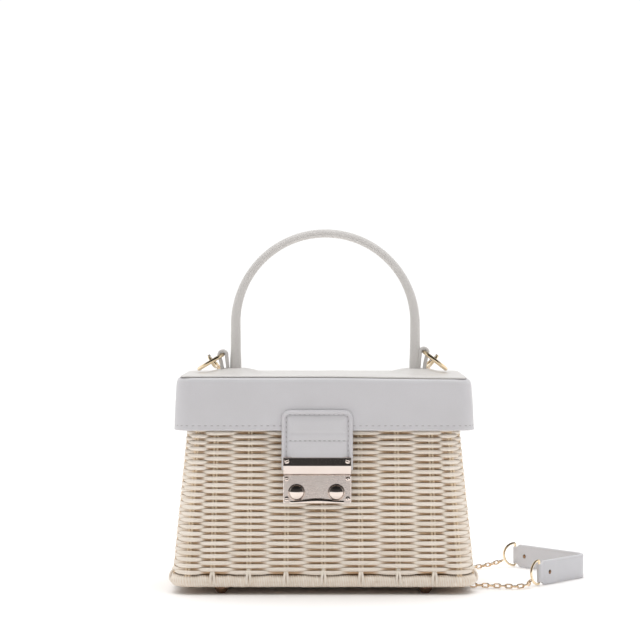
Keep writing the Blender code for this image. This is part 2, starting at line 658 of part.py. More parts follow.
def make_clasp():
    """Leather tab sewn to the lid's front, with a metal bar at its hanging end."""
    half_height = (TAB_TOP - (FLAP_AXIS_Z + 0.0011)) / 2
    middle = TAB_TOP - half_height
    rings = []
    for depth in (GAP, GAP + TAB_THICKNESS):
        ring = []
        for x, z in rounded_rectangle(TAB_HALF_WIDTH, half_height, 0.006, 5):
            x = math.copysign(TAB_HALF_WIDTH, x) if z < 0 else x
            z = -half_height if z < 0 else z
            ring.append((CLASP_X + x, -skirt_half_sizes(middle + z)[1] - depth, middle + z))
        rings.append(ring)
    builder_rings = [drop_repeats(ring) for ring in rings]
    loft("clasp_tab_upper", builder_rings, LOOK_LEATHER)

    lower = [
        (CLASP_X, -0.0648, 0.0928), (CLASP_X, -0.0630, 0.0928),
        (CLASP_X, -0.0625, FLAP_AXIS_Z - 0.0008), (CLASP_X, -0.0644, FLAP_AXIS_Z - 0.0008),
    ]
    along = (1, 0, 0)
    tab = prism("clasp_tab_lower", lower, along, -TAB_HALF_WIDTH, TAB_HALF_WIDTH, LOOK_LEATHER)
    front = [
        (CLASP_X, -0.0651, BAR_HIGH), (CLASP_X, BAR_FRONT + 0.0003, BAR_HIGH),
        (CLASP_X, BAR_FRONT, BAR_HIGH - 0.0003), (CLASP_X, BAR_FRONT, 0.0936),
        (CLASP_X, -0.0656, BAR_LOW + 0.0003), (CLASP_X, -0.0653, BAR_LOW),
        (CLASP_X, -0.0629, BAR_LOW), (CLASP_X, -0.0629, 0.0925), (CLASP_X, -0.0651, 0.0925),
    ]
    bar = prism("clasp_bar", front, along, -PLATE_HALF_WIDTH, PLATE_HALF_WIDTH, LOOK_PALE_GOLD)
    low = (CLASP_X - 0.0235, -0.0626, 0.0885)
    high = (CLASP_X + 0.0235, -0.0617, 0.0995)
    back_plate = block("clasp_back_plate", low, high, LOOK_STEEL)
    forward = (0, 1, 0)
    for place, sign in (("left", -1), ("right", 1)):
        peg_centre = (CLASP_X + sign * BUTTON_X, 0, PEG_Z)
        peg = [(0.0012, -0.062), (0.0012, -0.0599), (0.0009, -0.0595)]
        combine(back_plate, turned(f"clasp_peg_{place}", peg, peg_centre, forward, LOOK_STEEL, 16), "UNION")
        centre = (CLASP_X + sign * SCREW_X, 0, 0.097)
        bore_hole(bar, centre, forward, SCREW_RADIUS + GAP, -0.069, -0.064)
        bore_hole(tab, centre, forward, SHANK_RADIUS + GAP, -0.066, -0.061)
        bore_hole(back_plate, centre, forward, SHANK_RADIUS + GAP, -0.064, -0.061)
        make_screw(f"clasp_screw_{place}", sign * SCREW_X, 0.097, -0.0670, -0.0655, -0.0620)


def drop_repeats(points):
    """Leaves out points that fall on the one before them."""
    kept = []
    for point in points:
        if not kept or (Vector(point) - Vector(kept[-1])).length > 1e-6:
            kept.append(point)
    if (Vector(kept[0]) - Vector(kept[-1])).length < 1e-6:
        kept.pop()
    return kept


def make_strap():
    for side, route in CHAIN_ROUTES.items():
        bevelled_curve(f"chain_{side}", smooth_route(route, CHAIN_POINT_SPACING), CHAIN_RADIUS, LOOK_GOLD)

    up = Vector((0, 0, 1))
    middle = smooth_route([(x, y, 0) for x, y in BAND_ROUTE], 0.004)
    left = []
    right = []
    for index, point in enumerate(middle):
        before = middle[max(index - 1, 0)]
        after = middle[min(index + 1, len(middle) - 1)]
        side = (after - before).normalized().cross(up) * (BAND_THICKNESS / 2)
        left.append(point - side)
        right.append(point + side)
    band = prism("strap_band", right + left[::-1], up, GAP, GAP + BAND_HEIGHT, LOOK_PALE_LEATHER)

    ends = {"right": (middle[0], middle[1]), "left": (middle[-1], middle[-2])}
    for side, (end, inner) in ends.items():
        inward = (inner - end).normalized()
        ring_way = Vector((*STRAP_RING_DIRECTIONS[side], 0)).normalized()
        half_length, half_height = STRAP_RING_SIZE
        clear = BAND_THICKNESS / 2 + STRAP_RING_WIRE + half_length
        centre = end + ring_way * clear + up * STRAP_RING_HEIGHT
        oval = []
        for step in range(20):
            angle = 2 * math.pi * step / 20
            oval.append(centre + ring_way * half_length * math.cos(angle) + up * half_height * math.sin(angle))
        tube(f"strap_ring_{side}", oval, up.cross(ring_way), STRAP_RING_WIRE, LOOK_GOLD, sides=6, closed=True)

        across = inward.cross(up)
        rivet_place = end + inward * RIVET_FROM_END + up * (GAP + BAND_HEIGHT / 2)
        bore_hole(band, rivet_place, across, SHANK_RADIUS + GAP, -0.004, 0.004)
        face = BAND_THICKNESS / 2 + GAP
        spool = [(0.0013, -face - 0.0006), (0.0018, -face), (SHANK_RADIUS, -face), (SHANK_RADIUS, face),
                 (0.0018, face), (0.0013, face + 0.0006)]
        turned(f"strap_rivet_{side}", spool, rivet_place, across, LOOK_BRONZE, 12)


clear_scene()
make_basket()
make_feet()
make_lid()
make_handle()
for hand in ("left", "right"):
    make_ring_and_loop(hand)
    make_hook(hand)
    make_hinge(hand)
make_lock()
make_clasp()
make_strap()
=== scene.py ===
"""Finished look of the small woven box handbag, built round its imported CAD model.

Units are metres. +Z is up, +X is to the right of the lock and +Y runs towards the hinges.
"""

import math
import random

import bmesh
import bpy
import numpy as np
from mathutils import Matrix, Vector, noise


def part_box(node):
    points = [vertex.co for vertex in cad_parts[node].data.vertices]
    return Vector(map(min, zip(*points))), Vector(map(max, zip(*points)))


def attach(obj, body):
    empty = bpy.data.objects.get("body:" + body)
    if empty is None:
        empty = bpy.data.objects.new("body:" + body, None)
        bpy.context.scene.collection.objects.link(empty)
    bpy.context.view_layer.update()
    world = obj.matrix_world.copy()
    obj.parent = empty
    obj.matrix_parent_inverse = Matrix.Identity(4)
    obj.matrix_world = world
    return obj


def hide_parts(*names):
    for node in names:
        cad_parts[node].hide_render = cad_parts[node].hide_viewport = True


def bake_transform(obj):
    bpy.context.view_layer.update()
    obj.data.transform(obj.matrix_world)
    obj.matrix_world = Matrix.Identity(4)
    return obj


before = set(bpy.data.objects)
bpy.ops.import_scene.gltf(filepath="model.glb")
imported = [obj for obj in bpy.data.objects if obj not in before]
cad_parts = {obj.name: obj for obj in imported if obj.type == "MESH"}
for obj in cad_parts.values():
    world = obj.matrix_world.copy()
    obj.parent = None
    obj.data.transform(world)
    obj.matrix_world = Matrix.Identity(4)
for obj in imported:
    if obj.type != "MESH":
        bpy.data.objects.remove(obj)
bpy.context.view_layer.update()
chance = random.Random(11)

# Camera, level with the lid.
CAMERA_PLACE = (-0.00252, -1.662, 0.216)
CAMERA_DIP = math.radians(0.63)
CAMERA_LENS = 125

# Studio light, as brightness seen from the object
SKY_LEVEL = 1.16
SKY_FRONT_LEVEL = 0.45
SKY_SIDE_SHARE = 0.55
SKY_TOP_SHARE = 1.6
GLOSS_SKY_LEVEL = 1.0
DIM_WALL_LEVEL = 0.05
DIM_CEILING_SHARE = 0.18
BACKDROP_WHITE = 1.05
SOFTBOX_PLACE = (0.0, 0.1, 1.7)
SOFTBOX_AIM = (0, 0.05, 0.1)
SOFTBOX_SIZE = (1.5, 1.2)
SOFTBOX_POWER = 7.0
FLOOR_REACH = 40.0

# Basket
SIDE_LEVEL = 0.018
BASKET_HALF_WIDTH = 0.1104
BASKET_HALF_DEPTH = 0.062
WIDTH_TAPER = 0.098
DEPTH_TAPER = 0.085
WALL_CORNER = 0.016
WALL_TOP = 0.1502
WALL_MIDDLE = 0.0022  # from the outside of the weave to its middle
ROW_START = 0.0162
ROW_PITCH = 0.00233
ROW_COUNT = 58
WEAVE_SWING = 0.0015
FRONT_STAKES = ((0.0, 0.0), (0.027, 0.026), (0.054, 0.0525), (0.080, 0.0768), (0.098, 0.0890))
SIDE_STAKES = ((0.015, 0.014), (0.044, 0.040))
STAKE_RADIUS = 0.00092
BORDER_RADIUS = 0.0044
BORDER_HEIGHT = 0.0097
BORDER_INSET = 0.0042
RIM_RADIUS = 0.0022
RIM_HEIGHT = 0.1527
STRAND_PITCH = 0.00168
LINING_LOW = 0.0135
LINING_HIGH = 0.1517
LINING_HEM_SHIFT = 0.0006

# Lid
SKIRT_BOTTOM = 0.1185
SKIRT_TOP = 0.1566
SKIRT_HALF_WIDTH = (0.1085, 0.1066)
SKIRT_HALF_DEPTH = (0.062, 0.0603)
SKIRT_CORNER = 0.014
SKIRT_SHOULDER = 0.003
STITCH_RISE = 0.0036  # above the lower edge of the skirt
LID_TOP = 0.1584
LID_TOP_BOTTOM = 0.1569
LID_TOP_HALF_WIDTH = 0.104
LID_TOP_HALF_DEPTH = 0.0578
LID_TOP_CORNER = 0.008
LID_TOP_ROLL = 0.0015
MOUND_HEIGHT = 0.0041
MOUND_REACH = 0.030
LID_SAG = 0.0011  # at the lid's front right corner

# Handle, rings and hooks
HANDLE_HALF_SPAN = 0.067
HANDLE_SHIFT = 0.0015  # to the right of the lid's middle
HANDLE_SPRING_HEIGHT = 0.1954
HANDLE_RADIUS = (0.0038, 0.0031)  # on the legs and at the top
HANDLE_SEAM_ANGLE = -1.72
HANDLE_FOOT = 0.1552
RING_RADIUS = 0.01035
RING_WIRE = 0.00145
RING_PIVOT_X = 0.0752
RING_LEAN = {"left": math.radians(31), "right": math.radians(38)}
RING_LOW_POINT = LID_TOP + 0.0028
HOOK_BOW = 0.0036
HOOK_WIRE = 0.0012
HOOK_BARREL = (0.0165, 0.022)
HOOK_BARREL_RADIUS = 0.0023
EYE_REACH = 0.026
EYE_RADIUS = 0.0027
EYE_WIRE = 0.0008
EYE_HEIGHT = LID_TOP + EYE_RADIUS + EYE_WIRE + 0.0004

# Lock and clasp
CLASP_X = -0.0045
PLATE_HALF_WIDTH = 0.0245
PLATE_LOW = 0.0663
PLATE_HIGH = 0.0871
PLATE_FRONT = -0.0640  # Y
PLATE_LEAN = 0.040
PLATE_LIP_HALF_WIDTH = 0.0196
BUTTON_X = 0.0143
BUTTON_MIDDLE_X = -0.0051
BUTTON_Z = 0.0744
BUTTON_DOME = 0.0020
BUTTON_RADIUS = 0.00515
SPRING_RADIUS = 0.0034
SPRING_WIRE = 0.00028
SPRING_FRONT = -0.0613  # Y
SPRING_LENGTH = 0.0014
BUTTON_HOLLOW = 0.0031  # from the top of the dome to the floor of the hollow behind it
SCREW_X = 0.022
TAB_HALF_WIDTH = 0.02575
TAB_TOP = 0.1336
TAB_BOTTOM = 0.0907
TAB_CORNER = 0.0062
TAB_LINE = 0.1115  # height of the stitched line across
TAB_STITCH_INSET = 0.0034
FLAP_AXIS = (-0.0634, 0.118)  # Y and Z
BAR_LOW = 0.0874
BAR_HIGH = 0.1001
METAL_EDGE = 0.00012

# Back hinges
HINGE_X = 0.055
HINGE_SCREW_X = 0.0078
UPPER_LEAF_BACK = 0.0636
LOWER_LEAF_BACK = 0.0561

# Strap
LINK_PITCH = 0.0044
LINK_LENGTH = 0.0064
LINK_WIDTH = 0.0037
LINK_INSET = 0.0005  # from the outside of a link to the middle of its wire
LINK_WIRE = 0.00052
BAND_THICKNESS = 0.0022
BAND_HEIGHT = 0.018
BAND_LIFT = 0.0003
STRAP_RING_SIZE = (0.0042, 0.0088)
STRAP_RING_WIRE = 0.0009
STRAP_RING_HEIGHT = 0.0100
RIVET_FROM_END = 0.011
STRAP_FOLD_RADIUS = 0.0017
STRAP_BAR_AHEAD = 0.0012  # ring's straight side, beyond the end of the band

CHAIN_ROUTES = {
    "right": [
        (0.0787, 0.0392, 0.1619), (0.0797, 0.0465, 0.1609), (0.0808, 0.0560, 0.1613),
        (0.0816, 0.0630, 0.1592), (0.0821, 0.0666, 0.1525), (0.0824, 0.0670, 0.1400),
        (0.0828, 0.0668, 0.1150), (0.0832, 0.0664, 0.0850), (0.0836, 0.0664, 0.0550),
        (0.0840, 0.0668, 0.0280), (0.0848, 0.0678, 0.0120), (0.0885, 0.0694, 0.0045),
        (0.0955, 0.0694, 0.0023), (0.1025, 0.0650, 0.0021), (0.1040, 0.0550, 0.0021),
        (0.0995, 0.0430, 0.0021), (0.0935, 0.0300, 0.0021), (0.0835, 0.0190, 0.0021),
        (0.0680, 0.0135, 0.0021), (0.0510, 0.0110, 0.0021), (0.0400, 0.0030, 0.0021),
        (0.0400, -0.0100, 0.0021), (0.0510, -0.0175, 0.0021), (0.0680, -0.0195, 0.0021),
        (0.0860, -0.0205, 0.0021), (0.1000, -0.0215, 0.0021), (0.1115, -0.0222, 0.0021),
        (0.1225, -0.0245, 0.0021), (0.1335, -0.0280, 0.0021), (0.1438, -0.0302, 0.0022),
        (0.1508, -0.0260, 0.0033), (0.1532, -0.0185, 0.0052),
    ],
    "left": [
        (-0.0776, 0.0392, 0.1619), (-0.0786, 0.0465, 0.1609), (-0.0800, 0.0560, 0.1613),
        (-0.0812, 0.0630, 0.1592), (-0.0820, 0.0666, 0.1525), (-0.0825, 0.0670, 0.1400),
        (-0.0830, 0.0668, 0.1150), (-0.0834, 0.0664, 0.0850), (-0.0836, 0.0664, 0.0550),
        (-0.0834, 0.0668, 0.0280), (-0.0822, 0.0680, 0.0120), (-0.0780, 0.0698, 0.0045),
        (-0.0700, 0.0715, 0.0022), (-0.0540, 0.0738, 0.0021), (-0.0300, 0.0722, 0.0021),
        (0.0000, 0.0750, 0.0021), (0.0300, 0.0728, 0.0021), (0.0600, 0.0766, 0.0021),
        (0.0880, 0.0805, 0.0021), (0.1070, 0.0838, 0.0021), (0.1210, 0.0888, 0.0021),
        (0.1322, 0.0957, 0.0032), (0.1426, 0.1034, 0.0052),
    ],
}
BAND_ROUTE = [
    (0.1614, -0.0085), (0.1726, 0.0045), (0.1838, 0.0183), (0.1932, 0.0305), (0.1975, 0.0372),
    (0.1985, 0.0428), (0.1962, 0.0492), (0.1880, 0.0602), (0.1770, 0.0752), (0.1655, 0.0905),
    (0.1538, 0.1062),
]
STRAP_RING_DIRECTIONS = {"right": (-0.70, -0.714), "left": (-0.96, -0.28)}

UP = np.array((0.0, 0.0, 1.0))


# ---------------------------------------------------------------- mesh helpers

class Pile:
    """Collects grids of points into one mesh, with numbers on each point for its material."""

    def __init__(self):
        self.points = []
        self.faces = []
        self.count = 0
        # The depth numbers drive painted shade in the reed look: 0 in the open, 1 deep in the weave.
        self.marks = {"tone": [], "along": [], "around": [], "depth": []}

    def grid(self, points, ring=True, loop=False, **marks):
        """Adds rows of points; ring closes each row on itself, and loop joins the last row to the first."""
        points = np.asarray(points, dtype=float)
        rows, columns = points.shape[:2]
        index = self.count + np.arange(rows * columns).reshape(rows, columns)
        over = np.roll(index, -1, axis=1)
        down = np.roll(index, -1, axis=0)
        both = np.roll(down, -1, axis=1)
        quads = np.stack([index, over, both, down], axis=-1)
        if not loop:
            quads = quads[:-1]
        if not ring:
            quads = quads[:, :-1]
        self.faces += quads.reshape(-1, 4).tolist()
        if ring and not loop:
            self.faces.append(index[0][::-1].tolist())
            self.faces.append(index[-1].tolist())
        self.points.append(points.reshape(-1, 3))
        self.count += rows * columns
        for key, values in self.marks.items():
            spread = np.broadcast_to(np.asarray(marks.get(key, 0.0), dtype=float), (rows, columns))
            values.append(spread.reshape(-1))

    def build(self, name, look, body, replaces=(), weld=False, smooth=True):
        mesh = bpy.data.meshes.new(name)
        mesh.from_pydata(np.concatenate(self.points).tolist(), [], self.faces)
        for key, values in self.marks.items():
            numbers = np.concatenate(values)
            if numbers.any():
                layer = mesh.attributes.new(key, "FLOAT", "POINT")
                layer.data.foreach_set("value", numbers.astype(np.float32))
        builder = bmesh.new()
        builder.from_mesh(mesh)
        if weld:
            bmesh.ops.remove_doubles(builder, verts=builder.verts, dist=2e-6)
        bmesh.ops.recalc_face_normals(builder, faces=builder.faces)
        builder.to_mesh(mesh)
        builder.free()
        mesh.polygons.foreach_set("use_smooth", [smooth] * len(mesh.polygons))
        return place_piece(name, mesh, look, body, replaces)


def place_piece(name, mesh, look, body, replaces=()):
    piece = bpy.data.objects.new(name, mesh)
    bpy.context.scene.collection.objects.link(piece)
    mesh.materials.append(look)
    if body:
        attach(piece, body)
    if replaces:
        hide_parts(*replaces)
    return piece


def full_turn(count):
    return np.linspace(0, 2 * math.pi, count, endpoint=False)


def unit(vectors):
    vectors = np.asarray(vectors, dtype=float)
    lengths = np.linalg.norm(vectors, axis=-1, keepdims=True)
    return vectors / np.maximum(lengths, 1e-12)


def distances_along(path):
    """How far along a path each of its points is."""
    return np.concatenate([[0], np.cumsum(np.linalg.norm(np.diff(path, axis=0), axis=1))])


def sampled(distances, lengths, values):
    """Rows of values at some distances, where lengths are the distances of the rows given."""
    return np.stack([np.interp(distances, lengths, column) for column in values.T], axis=-1)


def path_directions(path, closed=False):
    path = np.asarray(path, dtype=float)
    if closed:
        return unit(np.roll(path, -1, axis=0) - np.roll(path, 1, axis=0))
    padded = np.concatenate([path[:1], path, path[-1:]])
    return unit(padded[2:] - padded[:-2])


def sweep(path, up, profile, closed=False):
    """Grid of a profile's (sideways, upward) points carried along a path."""
    path = np.asarray(path, dtype=float)
    profile = np.asarray(profile, dtype=float)
    if profile.ndim == 2:
        profile = np.broadcast_to(profile, (len(path), *profile.shape))
    ahead = path_directions(path, closed)
    up = np.broadcast_to(np.asarray(up, dtype=float), path.shape)
    side = unit(np.cross(up, ahead))
    lift = np.cross(ahead, side)
    return (path[:, None] + side[:, None] * profile[..., :1] + lift[:, None] * profile[..., 1:2])


def round_profile(radius, sides=12):
    angles = full_turn(sides)
    return radius * np.stack([np.cos(angles), np.sin(angles)], axis=-1)


def soft_box_profile(half_wide, half_high, corner, steps=4):
    """Rounded rectangle, counter-clockwise."""
    points = []
    for quarter, (sign_x, sign_y) in enumerate(((1, 1), (-1, 1), (-1, -1), (1, -1))):
        for step in range(steps + 1):
            angle = math.pi / 2 * (quarter + step / steps)
            points.append((sign_x * (half_wide - corner) + corner * math.cos(angle),
                           sign_y * (half_high - corner) + corner * math.sin(angle)))
    return np.array(points)


def turned(pile, profile, centre, axis, sides=32):
    """A turned piece: profile lists (radius, distance along the axis)."""
    axis = unit(axis)
    first = unit(np.cross(axis, (0.3, 0.2, 0.93)))
    second = np.cross(axis, first)
    angles = full_turn(sides)
    ring = np.cos(angles)[:, None] * first + np.sin(angles)[:, None] * second
    rows = [np.asarray(centre) + ring * max(radius, 1e-5) + axis * height for radius, height in profile]
    pile.grid(np.array(rows))


def smooth_route(points, spacing):
    """Evenly spaced points on a smooth curve through given ones."""
    points = np.array([(*p, 0.0) if len(p) == 2 else p for p in points], dtype=float)
    padded = np.concatenate([2 * points[:1] - points[1:2], points, 2 * points[-1:] - points[-2:-1]])
    count = len(points) - 1
    fine = []
    for index in range(count):
        a, b, c, d = padded[index:index + 4]
        for step in range(20):
            t = step / 20
            fine.append(0.5 * (2 * b + (c - a) * t + (2 * a - 5 * b + 4 * c - d) * t * t
                               + (3 * b - a - 3 * c + d) * t ** 3))
    fine.append(padded[count + 1])
    fine = np.array(fine)
    lengths = distances_along(fine)
    number = max(2, round(lengths[-1] / spacing))
    return sampled(np.linspace(0, lengths[-1], number + 1), lengths, fine)


class RoundedRing:
    """A rounded rectangle seen from above, measured by the distance along it from its front middle."""

    def __init__(self, half_x, half_y, corner):
        self.half_x = half_x
        self.half_y = half_y
        self.corner = corner
        self.flat_x = half_x - corner
        self.flat_y = half_y - corner
        self.arc = math.pi / 2 * corner
        self.quarter = self.flat_x + self.arc + self.flat_y
        self.length = 4 * self.quarter

    def quarter_place(self, distance):
        """Place and outward direction in the front right quarter."""
        if distance <= self.flat_x:
            return distance, -self.half_y, 0.0, -1.0
        if distance <= self.flat_x + self.arc:
            turn = (distance - self.flat_x) / self.corner
            return (self.flat_x + self.corner * math.sin(turn), -self.flat_y - self.corner * math.cos(turn),
                    math.sin(turn), -math.cos(turn))
        return self.half_x, -self.flat_y + distance - self.flat_x - self.arc, 1.0, 0.0

    def at(self, distance):
        distance %= self.length
        number, rest = divmod(distance, self.quarter)
        number = int(number)
        if number % 2:
            rest = self.quarter - rest
        x, y, out_x, out_y = self.quarter_place(rest)
        if number in (1, 2):
            y, out_y = -y, -out_y
        if number in (2, 3):
            x, out_x = -x, -out_x
        return x, y, out_x, out_y

    def quarter_distance(self, distance):
        """Distance from the nearer of the front and rear middles, as far as the side's middle."""
        number, rest = divmod(distance % self.length, self.quarter)
        return self.quarter - rest if int(number) % 2 else rest

    def front_distance(self, x):
        """Distance from the front middle to the place with this x, on the front right quarter."""
        if x <= self.flat_x:
            return x
        return self.flat_x + self.corner * math.asin(min((x - self.flat_x) / self.corner, 1.0))

    def side_distance(self, y):
        """Distance to the place with this depth in front of the middle, on the right side."""
        if y <= self.flat_y:
            return self.quarter - y
        lean = math.asin(min((y - self.flat_y) / self.corner, 1.0))
        return self.quarter - self.flat_y - self.corner * lean

    def samples(self, count):
        """Evenly numbered places that fall on the same parts of rings of any size."""
        places = []
        shares = np.linspace(0, 4, count, endpoint=False)
        for share in shares:
            number, rest = divmod(share, 1.0)
            rest = 1 - rest if int(number) % 2 else rest
            if rest < 0.5:
                distance = rest / 0.5 * self.flat_x
            elif rest < 0.75:
                distance = self.flat_x + (rest - 0.5) / 0.25 * self.arc
            else:
                distance = self.flat_x + self.arc + (rest - 0.75) / 0.25 * self.flat_y
            distance = distance if int(number) % 2 == 0 else self.quarter - distance
            places.append(self.quarter * int(number) + distance)
        return np.array([self.at(place) for place in places])


def fade(value, start, end):
    share = np.clip((value - start) / (end - start), 0, 1)
    return share * share * (3 - 2 * share)


def bump(value, centre, width):
    """Smooth hump of height 1 and the given half width."""
    share = np.clip(np.abs(value - centre) / width, 0, 1)
    return (1 - share * share) ** 2


def grain(points, size, seed=0.0):
    """Smooth noise between -1 and 1 at each point."""
    points = np.asarray(points)
    flat = points.reshape(-1, 3) / size + seed
    return np.array([noise.noise(Vector(p)) for p in flat]).reshape(points.shape[:-1])


def wall_half_sizes(z):
    rise = z - SIDE_LEVEL
    return BASKET_HALF_WIDTH - WIDTH_TAPER * rise, BASKET_HALF_DEPTH - DEPTH_TAPER * rise


def wall_ring(z, inset):
    half_x, half_y = wall_half_sizes(z)
    return RoundedRing(half_x - inset, half_y - inset, WALL_CORNER - inset)


def skirt_half_sizes(z):
    share = (z - SKIRT_BOTTOM) / (SKIRT_TOP - SKIRT_BOTTOM)
    return (SKIRT_HALF_WIDTH[0] + (SKIRT_HALF_WIDTH[1] - SKIRT_HALF_WIDTH[0]) * share,
            SKIRT_HALF_DEPTH[0] + (SKIRT_HALF_DEPTH[1] - SKIRT_HALF_DEPTH[0]) * share)


def lid_sag(x, y):
    return LID_SAG * fade(x, -0.01, 0.105) * fade(-y, -0.03, 0.055)


def mound(x, y):
    distance = np.hypot(np.abs(x - HANDLE_SHIFT) - HANDLE_HALF_SPAN, y)
    return MOUND_HEIGHT * (0.5 + 0.5 * np.cos(math.pi * np.minimum(distance / MOUND_REACH, 1.0)))


# ---------------------------------------------------------------- materials

class Look:
    """A material with its Principled shader, and short calls to add nodes to it."""

    def __init__(self, name, roughness=0.5, metallic=0.0, **settings):
        self.material = bpy.data.materials.new(name)
        self.material.use_nodes = True
        self.tree = self.material.node_tree
        self.shader = self.tree.nodes["Principled BSDF"]
        self.shader.inputs["Roughness"].default_value = roughness
        self.shader.inputs["Metallic"].default_value = metallic
        for key, value in settings.items():
            self.shader.inputs[key.replace("_", " ")].default_value = value
        self.place = self.add("ShaderNodeTexCoord").outputs["Object"]

    def add(self, kind, inputs=None, **settings):
        node = self.tree.nodes.new(kind)
        for key, value in settings.items():
            setattr(node, key, value)
        for key, value in (inputs or {}).items():
            if isinstance(value, bpy.types.NodeSocket):
                self.tree.links.new(value, node.inputs[key])
            else:
                node.inputs[key].default_value = value
        return node

    def noise(self, scale, detail=3.0, roughness=0.5, place=None, distortion=0.0):
        inputs = {"Vector": place or self.place, "Scale": scale, "Detail": detail,
                  "Roughness": roughness, "Distortion": distortion}
        return self.add("ShaderNodeTexNoise", inputs).outputs["Fac"]

    def mark(self, name):
        return self.add("ShaderNodeAttribute", attribute_name=name, attribute_type="GEOMETRY").outputs["Fac"]

    def mix(self, factor, first, second, kind="MIX"):
        node = self.add("ShaderNodeMix", data_type="RGBA", blend_type=kind)
        for number, value in ((0, factor), (6, first), (7, second)):
            socket = node.inputs[number]
            if isinstance(value, bpy.types.NodeSocket):
                self.tree.links.new(value, socket)
            elif number:
                socket.default_value = (*value, 1)
            else:
                socket.default_value = value
        return node.outputs[2]

    def range(self, value, from_low, from_high, to_low, to_high):
        inputs = {"Value": value, "From Min": from_low, "From Max": from_high, "To Min": to_low,
                  "To Max": to_high}
        return self.add("ShaderNodeMapRange", inputs).outputs["Result"]

    def math(self, kind, first, second=0.0):
        return self.add("ShaderNodeMath", {0: first, 1: second}, operation=kind).outputs[0]

    def vector(self, x, y, z):
        return self.add("ShaderNodeCombineXYZ", {"X": x, "Y": y, "Z": z}).outputs[0]

    def colour(self, value):
        self.tree.links.new(value, self.shader.inputs["Base Color"])

    def rough(self, value):
        self.tree.links.new(value, self.shader.inputs["Roughness"])

    def bump(self, height, strength, distance):
        """Adds a layer of bump over those added before."""
        inputs = {"Height": height, "Strength": strength, "Distance": distance}
        before = self.shader.inputs["Normal"].links
        if before:
            inputs["Normal"] = before[0].from_socket
        node = self.add("ShaderNodeBump", inputs)
        self.tree.links.new(node.outputs[0], self.shader.inputs["Normal"])


def reed_look(name, light, dark, shade_tint):
    """Round reed: grain along its length, a tone of its own, and a brown painted shade where it dips into the
    weave.
    """
    look = Look(name, roughness=0.46, Specular_IOR_Level=0.42)
    along = look.mark("along")
    around = look.mark("around")
    tone = look.mark("tone")
    streaks = look.vector(look.math("MULTIPLY", along, 70.0), look.math("MULTIPLY", around, 9.0),
                          look.math("MULTIPLY", tone, 60.0))
    fibre = look.noise(1.0, detail=5.0, roughness=0.62, place=streaks)
    fleck = look.noise(260.0, detail=2.0)
    body = look.mix(look.range(fibre, 0.3, 0.7, 0.0, 1.0), dark, light)
    body = look.mix(look.range(tone, 0.0, 1.0, 0.0, 0.26), body, (0.62, 0.50, 0.36))
    body = look.mix(look.range(fleck, 0.64, 0.80, 0.0, 0.22), body, (0.50, 0.36, 0.22))
    # Painted shade: the depth mark multiplies the shade tint into the reed colour where the reed sits back in
    # the weave.
    body = look.mix(look.mark("depth"), body, shade_tint, "MULTIPLY")
    look.colour(body)
    look.rough(look.range(fibre, 0.2, 0.8, 0.36, 0.58))
    look.bump(fibre, 0.35, 0.00025)
    return look.material


def leather_look(name, light, dark, pebble=2400.0, depth=0.05):
    """Smooth coated leather with a very fine pebble and faint handling marks."""
    look = Look(name, roughness=0.4, Specular_IOR_Level=0.4, Sheen_Weight=0.05)
    cells = look.add("ShaderNodeTexVoronoi", {"Vector": look.place, "Scale": pebble},
                     feature="SMOOTH_F1").outputs["Distance"]
    cloud = look.noise(26.0, detail=4.0)
    fine = look.noise(420.0, detail=3.0)
    crease = look.noise(90.0, detail=3.0, distortion=0.6)
    body = look.mix(look.range(cloud, 0.35, 0.65, 0.0, 1.0), light, dark)
    body = look.mix(look.range(cells, 0.25, 0.8, 0.0, 0.10), body, (0.42, 0.38, 0.36))
    look.colour(body)
    look.rough(look.range(fine, 0.3, 0.7, 0.36, 0.50))
    look.bump(crease, 0.16, 0.0005)
    look.bump(cells, depth, 0.00012)
    return look.material


def metal_look(name, light, dark, roughness, scratch=0.06):
    """Plated metal: fine brushing, slight clouding and small handling scratches."""
    look = Look(name, roughness=roughness, metallic=1.0)
    cloud = look.noise(75.0, detail=4.0)
    stretched = look.add("ShaderNodeMapping", {"Vector": look.place, "Scale": (60.0, 900.0, 2600.0)})
    hair = look.noise(1.0, detail=3.0, place=stretched.outputs[0])
    look.colour(look.mix(look.range(cloud, 0.3, 0.7, 0.0, 1.0), light, dark))
    look.rough(look.range(look.math("ADD", cloud, hair), 0.7, 1.3, roughness * 0.75, roughness * 1.35))
    look.bump(hair, scratch, 0.00004)
    return look.material


def cloth_look(name, light, dark, threads):
    """Plain woven cloth: crossing threads, with slubs."""
    look = Look(name, roughness=0.85, Sheen_Weight=0.2)
    separate = look.add("ShaderNodeSeparateXYZ", {"Vector": look.place})
    level = look.add("ShaderNodeVectorMath", {0: look.place, 1: (0.8, 0.9, 0.0)}, operation="DOT_PRODUCT")
    across = look.math("SINE", look.math("MULTIPLY", level.outputs["Value"], threads))
    upward = look.math("SINE", look.math("MULTIPLY", separate.outputs["Z"], threads))
    weave = look.math("MULTIPLY", across, upward)
    slub = look.noise(300.0, detail=4.0)
    look.colour(look.mix(look.range(look.math("ADD", weave, slub), -0.4, 1.5, 0.0, 1.0), dark, light))
    look.bump(look.math("ADD", weave, slub), 0.4, 0.0002)
    return look.material


def thread_look(name, light, dark):
    look = Look(name, roughness=0.55, Sheen_Weight=0.1)
    twist = look.add("ShaderNodeTexWave", {"Vector": look.place, "Scale": 900.0, "Distortion": 1.5},
                     bands_direction="DIAGONAL").outputs["Fac"]
    look.colour(look.mix(twist, dark, light))
    look.bump(twist, 0.5, 0.0001)
    return look.material


def board_look(name, light, dark):
    """Pressed fibre board or plain wood with a long grain."""
    look = Look(name, roughness=0.62)
    stretched = look.add("ShaderNodeMapping", {"Vector": look.place, "Scale": (18.0, 260.0, 260.0)})
    fibre = look.noise(1.0, detail=6.0, roughness=0.65, place=stretched.outputs[0])
    look.colour(look.mix(look.range(fibre, 0.3, 0.7, 0.0, 1.0), dark, light))
    look.bump(fibre, 0.3, 0.0003)
    return look.material


